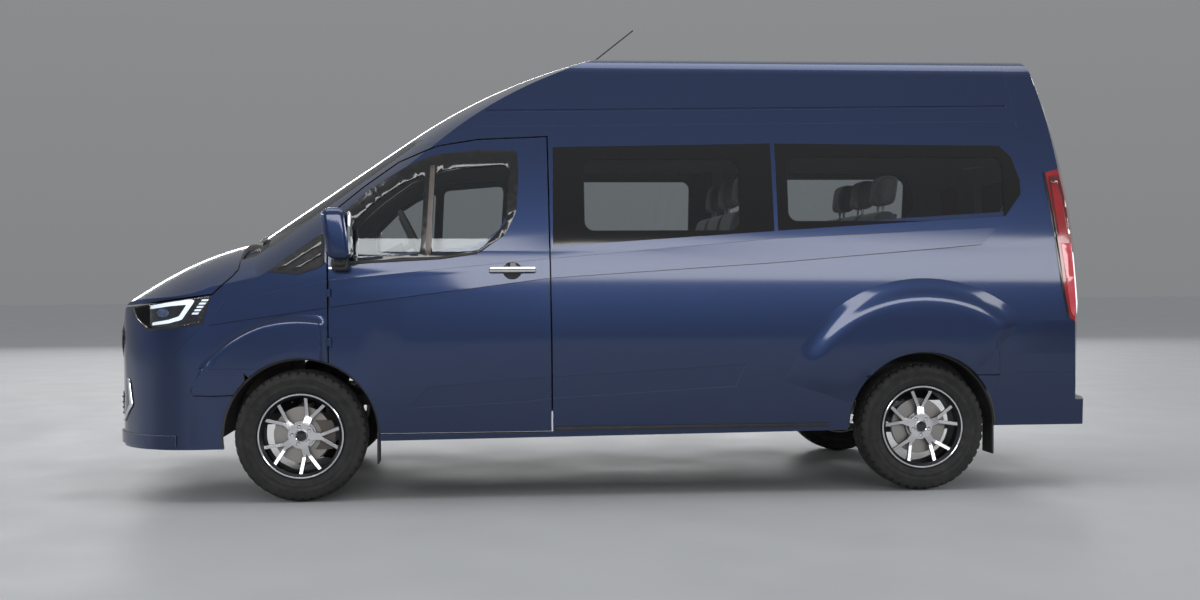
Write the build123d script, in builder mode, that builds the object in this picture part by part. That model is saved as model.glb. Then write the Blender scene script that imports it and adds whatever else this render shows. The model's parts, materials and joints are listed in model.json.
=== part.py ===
# High-roof passenger van, built as separate named panels, glass, running gear and cabin parts.
# Millimetres; front towards -X, left side towards -Y, ground at Z = 0.
import os
from math import atan2, cos, degrees, radians, sin, sqrt

from build123d import *

os.makedirs("parts", exist_ok=True)

# Running gear sizes
AXLE_FRONT = -1660.5
AXLE_REAR = 1639.5
TYRE_RADIUS = 343.0
TYRE_WIDTH = 215.0
RIM_RADIUS = 221.0
RIM_WALL = 8.0
TRACK_HALF = 868.0
SPINDLE_RADIUS = 24.0
RUNNING_FIT = 0.05
DISC_RADIUS = 148.0
DISC_THICK = 24.0
KINGPIN_SHIFT = 40.0
KINGPIN_RADIUS = 14.0
WELL_INNER = 556.0
ARCH_CLEAR = 62.0
ARCH_RADIUS = TYRE_RADIUS + ARCH_CLEAR
LINER = 10.0

# Body sizes
WALL = 60.0
WING_SKIN = 22.0
BONNET_SKIN = 30.0
BUMPER_SKIN = 45.0
GLASS = 6.0
FLANGE = 24.0
SEAT = 0.3
GAP = 8.0
GROOVE = 5.0
PAD = 13.0
BODY_REACH = 1050.0
FAR = 1300.0
SILL_Z = 315.0
DOOR_FOOT = 350.0
FLOOR_TOP = 520.0
FLOOR_THICK = 56.0
BUMPER_LIP = 45.0
HINGE_RADIUS = 8.0
HINGE_PIN = 4.0
HINGE_TALL = 40.0

# Side profile of the body: x and z on the middle line, shift in x and z at the outer edge,
# inward direction in x and z, and whether the point ends a line ("on") or bends an arc ("by")
PROFILE = [
    (-2655, 120, 20, 0, 1.0, 0.0, "on"),
    (-2655, 300, 20, 0, 1.0, 0.0, "on"),
    (-2668, 640, 40, 0, 1.0, 0.0, "by"),
    (-2622, 985, 60, -60, 0.97, -0.25, "on"),
    (-2602, 1048, 70, -90, 0.85, -0.55, "by"),
    (-2557, 1095, 80, -130, 0.6, -0.82, "on"),
    (-2270, 1262, 90, -270, 0.42, -0.9, "by"),
    (-1945, 1366, 120, -290, 0.45, -0.97, "on"),
    (-1115, 1926, 430, -60, 0.55, -0.84, "on"),
    (-545, 2228, 360, -60, 0.42, -0.9, "by"),
    (-20, 2382, 260, -40, 0.15, -1.0, "on"),
    (600, 2430, 0, 0, 0.0, -1.0, "on"),
    (2080, 2400, -120, 0, -0.15, -1.0, "on"),
    (2325, 2345, -220, -30, -0.6, -0.8, "by"),
    (2415, 2240, -300, -40, -0.95, -0.35, "on"),
    (2570, 1760, -300, 0, -0.98, -0.2, "by"),
    (2640, 1000, -210, 0, -1.0, -0.03, "on"),
    (2602, 560, -160, 0, -1.0, 0.05, "on"),
    (2588, 120, -160, 0, -1.0, 0.0, "on"),
]
# Share of the edge shift carried by each profile across the body
CROWN = [(-1.0, 1.0), (-0.8, 0.4), (-0.55, 0.09), (0.0, 0.0), (0.55, 0.09), (0.8, 0.4), (1.0, 1.0)]
# Half cross section: y, z, inward y, inward z, kind
SECTION = [
    (945, 140, -1.0, 0.0, "on"),
    (945, 300, -1.0, 0.03, "on"),
    (992, 760, -1.0, 0.0, "by"),
    (962, 1300, -1.0, -0.1, "on"),
    (918, 1620, -0.98, -0.16, "by"),
    (862, 1930, -0.98, -0.2, "on"),
    (800, 2235, -0.97, -0.24, "on"),
    (768, 2305, -0.75, -0.66, "by"),
    (700, 2342, -0.1, -0.99, "on"),
]
ROOF_CROWN = 2375.0
# Half plan: x, y, inward x, inward y, kind, from the nose to the tail
PLAN = [
    (-2680, 0, 1.0, 0.0, "by"),
    (-2648, 560, 1.0, -0.3, "on"),
    (-2510, 825, 0.7, -0.72, "by"),
    (-2120, 938, 0.2, -0.98, "on"),
    (-300, 1014, 0.0, -1.0, "by"),
    (2380, 1004, -0.2, -0.98, "on"),
    (2575, 924, -0.7, -0.7, "by"),
    (2635, 760, -1.0, -0.12, "on"),
    (2668, 0, -1.0, 0.0, "by"),
]


def draw(points):
    """Lines and arcs through a closed run of (u, v, kind) points that starts with an "on" point."""
    here = points[0][:2]
    bend = None
    for u, v, kind in points[1:] + points[:1]:
        if kind == "by":
            bend = (u, v)
        elif bend:
            ThreePointArc(here, bend, (u, v))
            here, bend = (u, v), None
        else:
            Line(here, (u, v))
            here = (u, v)


def envelope(inset):
    """The body's outer form moved inwards by inset (outwards when negative)."""
    plan = [(x + i * inset, y + j * inset, k) for x, y, i, j, k in PLAN]
    plan = plan[1:] + [(x, -y, k) for x, y, k in reversed(plan[1:-1])] + plan[:1]
    half = [(y + i * inset, z + j * inset, k) for y, z, i, j, k in SECTION]
    section = half + [(0, ROOF_CROWN - inset, "by")] + [(-y, z, k) for y, z, k in reversed(half)]
    with BuildPart() as form:
        for across, share in CROWN:
            with BuildSketch(Plane.XZ.offset(-across * BODY_REACH)):
                with BuildLine():
                    draw([(x + a * share + i * inset, z + b * share + j * inset, k)
                          for x, z, a, b, i, j, k in PROFILE])
                make_face()
        loft()
        with BuildSketch(Plane.XY):
            with BuildLine():
                draw(plan)
            make_face()
        extrude(amount=2 * FAR, mode=Mode.INTERSECT)
        with BuildSketch(Plane.YZ.offset(-3 * FAR)):
            with BuildLine():
                draw(section)
            make_face()
        extrude(amount=6 * FAR, mode=Mode.INTERSECT)
    return form.part


def side_tool(points, near, far, grow=0.0, taper=0.0, corner=0.0):
    """Prism of a side-view outline on the left, from y = -near to y = -far."""
    with BuildPart() as tool:
        with BuildSketch(Plane.XZ.offset(near)) as face:
            with BuildLine():
                Polyline(*points, close=True)
            make_face()
            if corner:
                fillet(face.vertices(), corner)
            if grow:
                offset(amount=grow, kind=Kind.INTERSECTION)
        extrude(amount=far - near, taper=taper)
    return tool.part


def end_tool(points, x_start, x_end, grow=0.0, corner=0.0):
    """Prism of an outline given in y and z, mirrored about the middle, from x_start to x_end."""
    with BuildPart() as tool:
        with BuildSketch(Plane.YZ.offset(x_start)) as face:
            with BuildLine():
                Polyline(*points, *[(-y, z) for y, z in reversed(points)], close=True)
            make_face()
            if corner:
                fillet(face.vertices(), corner)
            if grow:
                offset(amount=grow, kind=Kind.INTERSECTION)
        extrude(amount=x_end - x_start)
    return tool.part


def block(x0, x1, y0, y1, z0, z1):
    """Plain box between two corners."""
    with BuildPart() as box:
        with Locations(((x0 + x1) / 2, (y0 + y1) / 2, (z0 + z1) / 2)):
            Box(x1 - x0, y1 - y0, z1 - z0)
    return box.part


def rod(x, y, z, radius, length, axis):
    """Cylinder centred on a point along an axis."""
    with BuildPart() as pin:
        with Locations(Plane(origin=(x, y, z), z_dir=axis)):
            Cylinder(radius, length)
    return pin.part


def flip(part):
    """Left-hand piece made right-handed."""
    return mirror(part, about=Plane.XZ)


# Outlines in side view, x and z
DOOR_FRONT = -1512.0
WING_REAR = DOOR_FRONT - GAP
BONNET_REAR = -1990.0
BUMPER_END = -1950.0
COWL_HALF = 780.0
DOOR = [(DOOR_FRONT, 1478), (-1460, 1535), (-1334, 1640), (-1152, 1770), (-943, 1852), (-733, 1887),
        (-372, 1903), (-360, 827), (-358, DOOR_FOOT), (DOOR_FRONT, DOOR_FOOT)]
LAMP_SEAM = [(-2575, 1060), (-2530, 955), (-2453, 894), (-2222, 915), (-2160, 925)]
BUMPER_SEAM = [(-2319, 758), (-2288, 706), (-2202, 675), (BUMPER_END, 675)]
HOOD_SEAM = [(-2520, 1030), (-2110, 1085), (-2015, 1175), (BONNET_REAR, 1210)]
PILLAR_SEAM = [(-1760, 1500), (WING_REAR, 1392)]
ROOF_SEAM = [(-1300, 1905), (-1090, 1850), (-915, 1885), (-744, 1962), (2200, 2000)]
HEADER_SEAM = [(2200, 2000), (2205, 1962), (2290, 1935), (2377, 1880), (2440, 1800), (2700, 1800)]
REAR_SEAM = [(2045, 630), (2700, 630)]
BONNET = [(-2750, 1012), *HOOD_SEAM, (BONNET_REAR, 1430), (-2750, 1430)]
LAMP = [*LAMP_SEAM, HOOD_SEAM[1], (-2100, 1110)]
BUMPER = [(-2750, 250), (-2750, 1060), *LAMP_SEAM, *BUMPER_SEAM, (BUMPER_END, 250)]
WING = [HOOD_SEAM[1], HOOD_SEAM[2], HOOD_SEAM[3], (BONNET_REAR, 1500), *PILLAR_SEAM,
        (WING_REAR, 250), *reversed(BUMPER_SEAM), LAMP_SEAM[4]]
SIDE = [(WING_REAR, 250), PILLAR_SEAM[1], PILLAR_SEAM[0], (-1760, 1800), *ROOF_SEAM, *HEADER_SEAM[1:],
        *reversed(REAR_SEAM), (2045, 250)]
ROOF = [*ROOF_SEAM, (2125, 2450), (-1300, 2450)]
HEADER = [*HEADER_SEAM, (2700, 2450), (2125, 2450)]
REAR_BUMPER = [*REAR_SEAM, (2700, 250), (2045, 250)]
TAIL_LAMP = [(2343, 1714), (2400, 1731), (2700, 1731), (2700, 870), (2523, 870), (2443, 929),
             (2413, 1104), (2387, 1377)]
PILLAR = [(-1650, 700), (-1650, 1540), (WING_REAR, 1450), (WING_REAR, 700)]
UNDER = [(-2800, 0), (-2800, 278), (AXLE_FRONT, 278), (AXLE_FRONT, SILL_Z - 8), (AXLE_REAR, SILL_Z + 20),
         (AXLE_REAR, 345), (2800, 345), (2800, 0)]
SLIDE_DOOR = [(-346, DOOR_FOOT), (-346, 1880), (846, 1900), (846, DOOR_FOOT)]
# Raised band, wheel flares, pressed recess and roof groove on each side
BAND = [(-2134, 917), (-1521, 1002), (-369, 1148), (834, 1224), (1972, 1317), (2062, 1420), (834, 1364),
        (-370, 1264), (-1522, 1158), (-2060, 1042)]
HOLLOW = [(-1105, 483), (-996, 592), (-492, 629), (673, 692), (620, 576), (-366, 524), (-492, 508)]
ROOF_LINE = [(-690, 2040), (2150, 2076), (2150, 2088), (-690, 2052)]
BAND_START = 900.0
BAND_TAPER = 30.0
FLARE_DEPTH = 110.0
FLARE_START = 920.0
BAND_EDGE = 5.0
# Flare: axle, radius, how far ahead and behind the axle, lower edge
FLARES = [(AXLE_FRONT, 630.0, 580.0, 138.0, 540.0), (AXLE_REAR, 720.0, 590.0, 460.0, 580.0)]
# Side glass outlines
DOOR_GLASS = [(-1425, 1492), (-1277, 1622), (-1096, 1732), (-962, 1792), (-740, 1817), (-545, 1815),
              (-540, 1700), (-552, 1510), (-606, 1396), (-741, 1304), (-940, 1280), (-1425, 1245)]
PANE_FRONT = [(-340, 1850), (830, 1872), (838, 1400), (-344, 1322)]
PANE_REAR = [(853, 1872), (2095, 1862), (2160, 1800), (2200, 1673), (2200, 1596), (2110, 1478), (858, 1402)]
# End outlines, half, y and z
SCREEN = [(430, 1402), (700, 1362), (805, 1322), (742, 1898), (400, 1916)]
GATE_FOOT = 642.0
GATE_TOP = 1850.0
GATE = [(800, GATE_FOOT), (838, 900), (836, 1300), (772, 1760), (700, GATE_TOP)]
GATE_GLASS = [(700, 1330), (690, 1450), (640, 1740), (600, 1770)]
GRILLE = [(430, 690), (600, 850), (555, 985)]
STUD_WIDE = 34.0
STUD_TALL = 14.0
STUD_PITCH = 58.0
STUD_LONG = 36.0
STUD_PROUD = 6.0
STUD_SLOPE = 1.05
STUD_LEAN = 0.16


def glazing(tools):
    """Pane, rebate and through opening for an outline: tools holds the pane, grown and shrunk prisms."""
    pane, grown, shrunk = tools
    return pane & GLASS_BAND, (grown & REBATE_BAND) + shrunk


def side_glass(points):
    return glazing([side_tool(points, WING_SKIN * 20, FAR, grow) for grow in (0, SEAT, -FLANGE)])


def end_glass(points, x_start, x_end):
    return glazing([end_tool(points, x_start, x_end, grow) for grow in (0, SEAT, -FLANGE)])


# The outer form and its offsets
FORM = envelope(0)
FORM_PAD = envelope(-PAD)
FORM_GLASS = envelope(GLASS)
FORM_WING = envelope(WING_SKIN)
FORM_BONNET = envelope(BONNET_SKIN)
FORM_BUMPER = envelope(BUMPER_SKIN)
FORM_LIP = FORM.moved(Location((BUMPER_LIP, 0, 0)))
INNER = envelope(WALL)
GLASS_BAND = FORM - FORM_GLASS
REBATE_BAND = FORM_PAD - FORM_GLASS

# Raised band and flares, then hollows, on both sides
band_left = side_tool(BAND, BAND_START, FAR, taper=BAND_EDGE) & FORM_PAD
flares_left = []
for axle, radius, ahead, behind, foot in FLARES:
    with BuildPart() as flare:
        with BuildSketch(Plane.XZ.offset(FLARE_START)) as face:
            with Locations((axle, TYRE_RADIUS)):
                Circle(radius)
            with Locations((axle + (behind - ahead) / 2, foot + radius / 2)):
                Rectangle(ahead + behind, radius, mode=Mode.INTERSECT)
        extrude(amount=FLARE_DEPTH, taper=BAND_TAPER)
    flares_left.append(flare.part & FORM_PAD)
left_pads = flares_left[0] + flares_left[1] + band_left
left_cuts = side_tool(HOLLOW, BAND_START, FAR) + side_tool(ROOF_LINE, 600, FAR)
left_cuts = left_cuts - FORM_GLASS

screen_pane, screen_cut = end_glass(SCREEN, -2200, -900)
gate_pane, gate_cut = end_glass(GATE_GLASS, 2300, 2800)
door_pane, door_cut = side_glass(DOOR_GLASS)
front_pane, front_cut = side_glass(PANE_FRONT)
rear_pane, rear_cut = side_glass(PANE_REAR)

arches = [rod(axle, 0, TYRE_RADIUS, ARCH_RADIUS, 2 * FAR, (0, 1, 0)) for axle in (AXLE_FRONT, AXLE_REAR)]
under = side_tool(UNDER, -FAR, FAR)
side_cuts = [left_cuts, door_cut, front_cut, rear_cut]
BODY = FORM + left_pads + flip(left_pads)
BODY = BODY - (side_cuts + [flip(cut) for cut in side_cuts] + arches + [under, screen_cut, gate_cut])


def panel(points, inside, near=-FAR, grow=0.0):
    """Piece of the body inside a side-view outline, down to an inner form."""
    return (BODY & side_tool(points, near, FAR, grow)) - inside


def label(name, part):
    """Name a finished piece and write it out."""
    part.label = name
    export_step(part, f"parts/{name}.step")


# Prisms of the moving panels grown by their working gap
bonnet_gap = side_tool(BONNET, -FAR, FAR, GAP)
door_gap = side_tool(DOOR, WELL_INNER, FAR, GAP)
gate_prism = end_tool(GATE, 2150, 2800)
gate_gap = end_tool(GATE, 2150, 2800, GAP)
grille_prism = end_tool(GRILLE, -2800, -2400)
lamp_prism = side_tool(TAIL_LAMP, WELL_INNER, FAR)

# Hinge places: door pins stand upright at the leading edge, gate pins lie along its top edge
DOOR_HINGE_X = DOOR_FRONT + HINGE_RADIUS
DOOR_HINGE_Y = 976.0
HINGE_ROOT = 945.0
DOOR_HINGES = [830.0, 1085.0]
GATE_HINGE_X = 2540.0
GATE_HINGE_Z = GATE_TOP - HINGE_RADIUS
GATE_HINGES = [-350.0, 350.0]
BONNET_HINGE_X = -1850.0
BONNET_HINGE_Z = 1290.0
BONNET_HINGES = [-602.0, 602.0]
PIN_PAST = 12.0
PIN_LONG = HINGE_TALL + 2 * PIN_PAST
NOTCH_BACK = 10.0
WEB = 36.0

# Left front door with rounded leading edge, hinge notches and handle
HANDLE_X = (-678.0, -439.0)
HANDLE_Z = 1201.0
HANDLE_TALL = 26.0
HANDLE_OUT = 1022.0
HANDLE_THICK = 14.0
door_blank = panel(DOOR, INNER, WELL_INNER)
with BuildPart() as edge_relief:
    with Locations((DOOR_HINGE_X - HINGE_RADIUS, -DOOR_HINGE_Y - FAR / 4, 1000)):
        Box(2 * HINGE_RADIUS, FAR / 2, 2000)
    with Locations((DOOR_HINGE_X, -DOOR_HINGE_Y, 1000)):
        Cylinder(HINGE_RADIUS, 2000, mode=Mode.SUBTRACT)
with BuildPart() as door_left:
    add(door_blank)
    add(edge_relief.part, mode=Mode.SUBTRACT)
    for z in DOOR_HINGES:
        with Locations((DOOR_HINGE_X, -DOOR_HINGE_Y + WALL / 4, z)):
            Box(2 * NOTCH_BACK, 2 * WALL, HINGE_TALL + 2 * SEAT, mode=Mode.SUBTRACT)
        with Locations((DOOR_HINGE_X, -DOOR_HINGE_Y, z)):
            Cylinder(HINGE_PIN + RUNNING_FIT, PIN_LONG + 2 * SEAT, mode=Mode.SUBTRACT)
    with BuildSketch(Plane.XZ.offset(HANDLE_OUT)):
        with Locations(((HANDLE_X[0] + HANDLE_X[1]) / 2, HANDLE_Z)):
            RectangleRounded(HANDLE_X[1] - HANDLE_X[0], HANDLE_TALL, HANDLE_TALL / 2.1)
    extrude(amount=-HANDLE_THICK)
    for x in (HANDLE_X[0] + WALL / 2, HANDLE_X[1] - WALL / 2):
        with Locations((x, -HANDLE_OUT + WALL / 2, HANDLE_Z)):
            Box(WALL / 2, WALL, HANDLE_TALL / 2)

# Left side panel: one pressing from the screen pillar to the tail, with its inner hinge pillar
with BuildPart() as side_left:
    add(panel(SIDE, INNER, WELL_INNER, -SEAT))
    add(door_gap, mode=Mode.SUBTRACT)
    add(gate_gap, mode=Mode.SUBTRACT)
    add(lamp_prism, mode=Mode.SUBTRACT)
    add((side_tool(PILLAR, COWL_HALF + SEAT, FAR) & FORM_BONNET) - INNER - arches[0])
    for z in DOOR_HINGES:
        with Locations((DOOR_HINGE_X, -DOOR_HINGE_Y, z)):
            Cylinder(HINGE_RADIUS, HINGE_TALL)
            Cylinder(HINGE_PIN, PIN_LONG)
        with Locations((DOOR_HINGE_X - GAP + SEAT / 2, -DOOR_HINGE_Y + WEB / 2, z)):
            Box(2 * GAP - SEAT, WEB + 2 * HINGE_RADIUS, HINGE_TALL)
        with Locations((WING_REAR - GAP, -HINGE_ROOT + 2 * HINGE_RADIUS, z)):
            Box(4 * GAP, 4 * HINGE_RADIUS, HINGE_TALL)

# Right side panel with the sliding door opening, and the sliding door with a groove around it
slide_prism = flip(side_tool(SLIDE_DOOR, WELL_INNER, FAR))
slide_groove = flip(side_tool(SLIDE_DOOR, WELL_INNER, FAR, GROOVE)) - FORM_BONNET
side_right_blank = flip(side_left.part)
with BuildPart() as side_right:
    add(side_right_blank)
    add(flip(side_tool(SLIDE_DOOR, WELL_INNER, FAR, SEAT)), mode=Mode.SUBTRACT)
    add(slide_groove, mode=Mode.SUBTRACT)
with BuildPart() as sliding_door:
    add(side_right_blank)
    add(slide_prism, mode=Mode.INTERSECT)

# Bonnet with two hinge arms
ARM_HALF = 12.0
BONNET_ARM = [(-2060, 1262), (-2050, 1296), (BONNET_HINGE_X, 1304), (BONNET_HINGE_X + 14, BONNET_HINGE_Z),
              (BONNET_HINGE_X, 1276), (-2000, 1262)]
BONNET_PIN = 8.0
with BuildPart() as bonnet:
    add(panel(BONNET, FORM_BONNET))
    for y in BONNET_HINGES:
        add(side_tool(BONNET_ARM, -y - ARM_HALF, -y + ARM_HALF))
        pin_bore = rod(BONNET_HINGE_X, y, BONNET_HINGE_Z, BONNET_PIN + RUNNING_FIT, WALL, (0, 1, 0))
        add(pin_bore, mode=Mode.SUBTRACT)

# Cowl: sunken tray behind the bonnet, screen flange, hinge lugs and pins
TRAY_END = -1890.0
COWL_END = -1640.0
COWL_Z = (1100.0, 1432.0)
ARM_ROOM = 16.0
LUG = 18.0
LUG_TALL = 80.0
LUG_RISE = 25.0
with BuildPart() as cowl:
    add((block(BONNET_REAR + GAP, TRAY_END, -COWL_HALF, COWL_HALF, *COWL_Z) & FORM_BONNET) - INNER)
    add((block(TRAY_END, COWL_END, -COWL_HALF, COWL_HALF, *COWL_Z) & BODY) - INNER)
    for y in BONNET_HINGES:
        add(block(BONNET_REAR, BONNET_HINGE_X + ARM_ROOM, y - ARM_HALF - GAP, y + ARM_HALF + GAP,
                  COWL_Z[0], COWL_Z[1] + LUG), mode=Mode.SUBTRACT)
        side = 1 if y > 0 else -1
        with Locations((BONNET_HINGE_X, y + side * (ARM_HALF + GAP + LUG / 2), BONNET_HINGE_Z + LUG_RISE)):
            Box(2 * LUG, LUG, LUG_TALL)
        add(rod(BONNET_HINGE_X, y + side * LUG, BONNET_HINGE_Z, BONNET_PIN, 2 * (ARM_HALF + LUG), (0, 1, 0)))

# Wings, headlamps and tail lamps, one piece a side
wing_left = panel(WING, FORM_WING, COWL_HALF + SEAT) - bonnet_gap
wings = [wing_left, flip(wing_left)]
lamp_left = panel(LAMP, INNER, 300, -SEAT) - bonnet_gap
headlamps = [lamp_left, flip(lamp_left)]
tail_left = panel(TAIL_LAMP, INNER, WELL_INNER, -SEAT) - gate_gap
tail_lamps = [tail_left, flip(tail_left)]

# Front bumper with its lip, and the studded grille in its opening
LIP_X = (-2750.0, -2300.0)
LIP_Z = (296.0, 352.0)
with BuildPart() as front_bumper:
    add(panel(BUMPER, FORM_BUMPER, -FAR, -SEAT))
    add(flip(side_tool(LAMP, 300, FAR)), mode=Mode.SUBTRACT)
    add(flip(side_tool(WING, 300, FAR)), mode=Mode.SUBTRACT)
    add(bonnet_gap, mode=Mode.SUBTRACT)
    add(end_tool(GRILLE, -2800, -2400, SEAT), mode=Mode.SUBTRACT)
    add((block(*LIP_X, -FAR, FAR, *LIP_Z) & FORM_PAD) - FORM_BUMPER)
GRILLE_MID = (GRILLE[0][1] + GRILLE[2][1]) / 2
NOSE_BEND = PLAN[1][1] ** 2 / (2 * (PLAN[1][0] - PLAN[0][0]))
studs = []
for row in range(-2, 3):
    for column in range(-9, 10):
        y = (column + (row % 2) / 2) * STUD_PITCH
        z = GRILLE_MID + row * STUD_PITCH
        spread = GRILLE[1][0] - abs(z - GRILLE[1][1]) * STUD_SLOPE - STUD_WIDE
        if abs(y) < spread:
            bend = PLAN[0][0] + y * y / (2 * NOSE_BEND)
            nose = max(bend, PROFILE[2][0] + max(0, z - GRILLE[0][1]) * STUD_LEAN)
            studs.append((nose - STUD_PROUD, y, z))
with BuildPart() as grille:
    add((grille_prism & FORM_GLASS) - FORM_BUMPER)
    with Locations(*studs):
        Box(STUD_LONG, STUD_WIDE, STUD_TALL, align=(Align.MIN, Align.CENTER, Align.CENTER))

# Roof cap, rear header with gate hinges, tailgate, rear bumper with its step lip
with BuildPart() as roof:
    add(panel(ROOF, INNER))
with BuildPart() as rear_header:
    add(panel(HEADER, INNER, -FAR, -SEAT))
    add(gate_gap, mode=Mode.SUBTRACT)
    for y in GATE_HINGES:
        add(rod(GATE_HINGE_X, y, GATE_HINGE_Z, HINGE_RADIUS, HINGE_TALL, (0, 1, 0)))
        add(rod(GATE_HINGE_X, y, GATE_HINGE_Z, HINGE_PIN, PIN_LONG, (0, 1, 0)))
        with Locations((GATE_HINGE_X - WEB / 2 + HINGE_RADIUS, y, GATE_HINGE_Z + 3 * HINGE_RADIUS / 2)):
            Box(WEB, HINGE_TALL, 3 * HINGE_RADIUS)
PLATE_BLOCK = (735.0, 815.0)
PLATE_HALF = 420.0
STEP_X = (2330.0, 2800.0)
STEP_Z = (345.0, 482.0)
REAR_END = 2673.7
with BuildPart() as gate_relief:
    with Locations((GATE_HINGE_X + FAR / 4, 0, GATE_HINGE_Z + HINGE_RADIUS)):
        Box(FAR / 2, 2 * FAR, 2 * HINGE_RADIUS)
    add(rod(GATE_HINGE_X, 0, GATE_HINGE_Z, HINGE_RADIUS, 2 * FAR, (0, 1, 0)), mode=Mode.SUBTRACT)
with BuildPart() as tailgate:
    add((BODY & gate_prism) - INNER)
    add(gate_relief.part, mode=Mode.SUBTRACT)
    for y in GATE_HINGES:
        with Locations((GATE_HINGE_X - WALL / 4, y, GATE_HINGE_Z)):
            Box(2 * WALL, HINGE_TALL + 2 * SEAT, 2 * NOTCH_BACK, mode=Mode.SUBTRACT)
        pin_bore = rod(GATE_HINGE_X, y, GATE_HINGE_Z, HINGE_PIN + RUNNING_FIT, PIN_LONG + 2 * SEAT, (0, 1, 0))
        add(pin_bore, mode=Mode.SUBTRACT)
plate_bar = block(REAR_END - 2 * BUMPER_LIP, REAR_END, -PLATE_HALF, PLATE_HALF, *PLATE_BLOCK)
plate_bar = plate_bar - FORM.moved(Location((SEAT, 0, 0)))
with BuildPart() as rear_bumper:
    add(panel(REAR_BUMPER, FORM_BUMPER, -FAR, -SEAT))
    add((block(*STEP_X, -FAR, FAR, *STEP_Z) & FORM_LIP) - FORM_BUMPER)

# Front structure: firewall, rails, radiator frame and front wheel liners with flaps
FIREWALL = (-1590.0, -1550.0)
RAIL_Y = (420.0, 500.0)
RAIL_Z = (420.0, 520.0)
LINER_OUT = ARCH_RADIUS - SEAT
FLAP = 190.0
FLAP_SHIFT = 4.0
FIREWALL_TOP = 1280.0
RADIATOR = (-2545.0, -2505.0, -640.0, 640.0, 300.0, 960.0)
RAIL_START = -2520.0


def liner(axle, inner_y):
    """Half-round wheel liner on the left with a flap hanging behind the wheel."""
    with BuildPart() as lining:
        with BuildSketch(Plane.XZ.offset(inner_y)):
            with Locations((axle, TYRE_RADIUS)):
                Circle(LINER_OUT)
                Circle(LINER_OUT - LINER, mode=Mode.SUBTRACT)
            with Locations((axle, TYRE_RADIUS - FAR / 2)):
                Rectangle(2 * FAR, FAR, mode=Mode.SUBTRACT)
        extrude(amount=LINER_EDGE - inner_y)
        flap = axle + LINER_OUT - FLAP_SHIFT
        add(block(flap - LINER, flap, -LINER_EDGE, -TRACK_HALF + TYRE_WIDTH / 3, FLAP, TYRE_RADIUS + LINER))
    return lining.part


LINER_EDGE = 944.0
well_front = rod(AXLE_FRONT, 0, TYRE_RADIUS, LINER_OUT - LINER / 2, 2 * FAR, (0, 1, 0)) - \
    block(-3 * FAR, 3 * FAR, -WELL_INNER, WELL_INNER, -FAR, 2 * FAR)
WELL_REAR = 704.0
well_rear = rod(AXLE_REAR, 0, TYRE_RADIUS, LINER_OUT - LINER / 2, 2 * FAR, (0, 1, 0)) - \
    block(-3 * FAR, 3 * FAR, -WELL_REAR, WELL_REAR, -FAR, 2 * FAR)
liner_front = liner(AXLE_FRONT, WELL_INNER)
liner_rear = liner(AXLE_REAR, WELL_REAR)
firewall = (block(*FIREWALL, -FAR, FAR, FLOOR_TOP - FLOOR_THICK, FIREWALL_TOP) & INNER) - well_front
radiator = block(*RADIATOR) & INNER
with BuildPart() as front_structure:
    add(firewall)
    add(liner_front)
    add(flip(liner_front))
    for side in (-1, 1):
        add(block(RAIL_START, FIREWALL[0] + LINER, *sorted((side * RAIL_Y[0], side * RAIL_Y[1])), *RAIL_Z))
    add(radiator)

# Floor with rear wheelhouses and rear sill
REAR_SILL = 2500.0
SILL_HALF = 780.0
TAIL_PAST = 2700.0
floor_plate = block(FIREWALL[1] + SEAT, TAIL_PAST, -FAR, FAR, FLOOR_TOP - FLOOR_THICK, FLOOR_TOP) & INNER
rear_sill = block(REAR_SILL, TAIL_PAST, -SILL_HALF, SILL_HALF, FLOOR_TOP - FLOOR_THICK, REAR_SEAM[0][1])
rear_sill = rear_sill & INNER
well_wall = rod(AXLE_REAR, -WELL_REAR - LINER / 2, TYRE_RADIUS, LINER_OUT, LINER, (0, 1, 0)) - \
    block(0, 3 * FAR, -FAR, FAR, -FAR, FLOOR_TOP - FLOOR_THICK)
with BuildPart() as floor_pan:
    add(floor_plate)
    add(rear_sill)
    add(rod(AXLE_FRONT, 0, TYRE_RADIUS, ARCH_RADIUS, 2 * FAR, (0, 1, 0)) -
        block(-3 * FAR, 3 * FAR, -WELL_INNER + LINER, WELL_INNER - LINER, -FAR, 2 * FAR), mode=Mode.SUBTRACT)
    add(well_rear, mode=Mode.SUBTRACT)
    for hand in (lambda shape: shape, flip):
        add(hand(liner_rear))
        add(hand(well_wall))

# Wheel: tyre, and rim with V spokes and lug holes, with the brake disc behind; axis on Y, outside to -Y
SPOKES = 5
HUB_RADIUS = 64.0
HUB_FACE = -66.0
PAD_FACE = -38.0
BOLT_CIRCLE = 47.0
BOLT_RADIUS = 10.0
STEM_WIDTH = 38.0
BRANCH_WIDTH = 17.0
BRANCH_SPREAD = 15.0
BRANCH_START = 82.0
SPOKE_END = 200.0
STEM_PAST = 16.0
BEAD_SEAT = RIM_RADIUS - 15.0
# Tyre half section: across, radius
TYRE_SECTION = [(78, BEAD_SEAT + SEAT), (TYRE_WIDTH / 2, 290), (84, TYRE_RADIUS)]
# Rim section, outer then inner wall: across (outside negative), radius
RIM_SECTION = [(-95, RIM_RADIUS), (-84, RIM_RADIUS), (-82, BEAD_SEAT), (82, BEAD_SEAT), (84, RIM_RADIUS),
               (95, RIM_RADIUS), (95, RIM_RADIUS - RIM_WALL), (80, BEAD_SEAT - RIM_WALL),
               (-80, BEAD_SEAT - RIM_WALL), (-95, RIM_RADIUS - RIM_WALL)]
FRONT_TURN = 22.0


def revolved(points):
    """Ring turned about the Y axis from a closed run of (across, radius) points."""
    with BuildPart() as ring:
        with BuildSketch(Plane.XY):
            with BuildLine():
                Polyline(*[(radius, across) for across, radius in points], close=True)
            make_face()
        revolve(axis=Axis.Y)
    return ring.part


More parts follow.
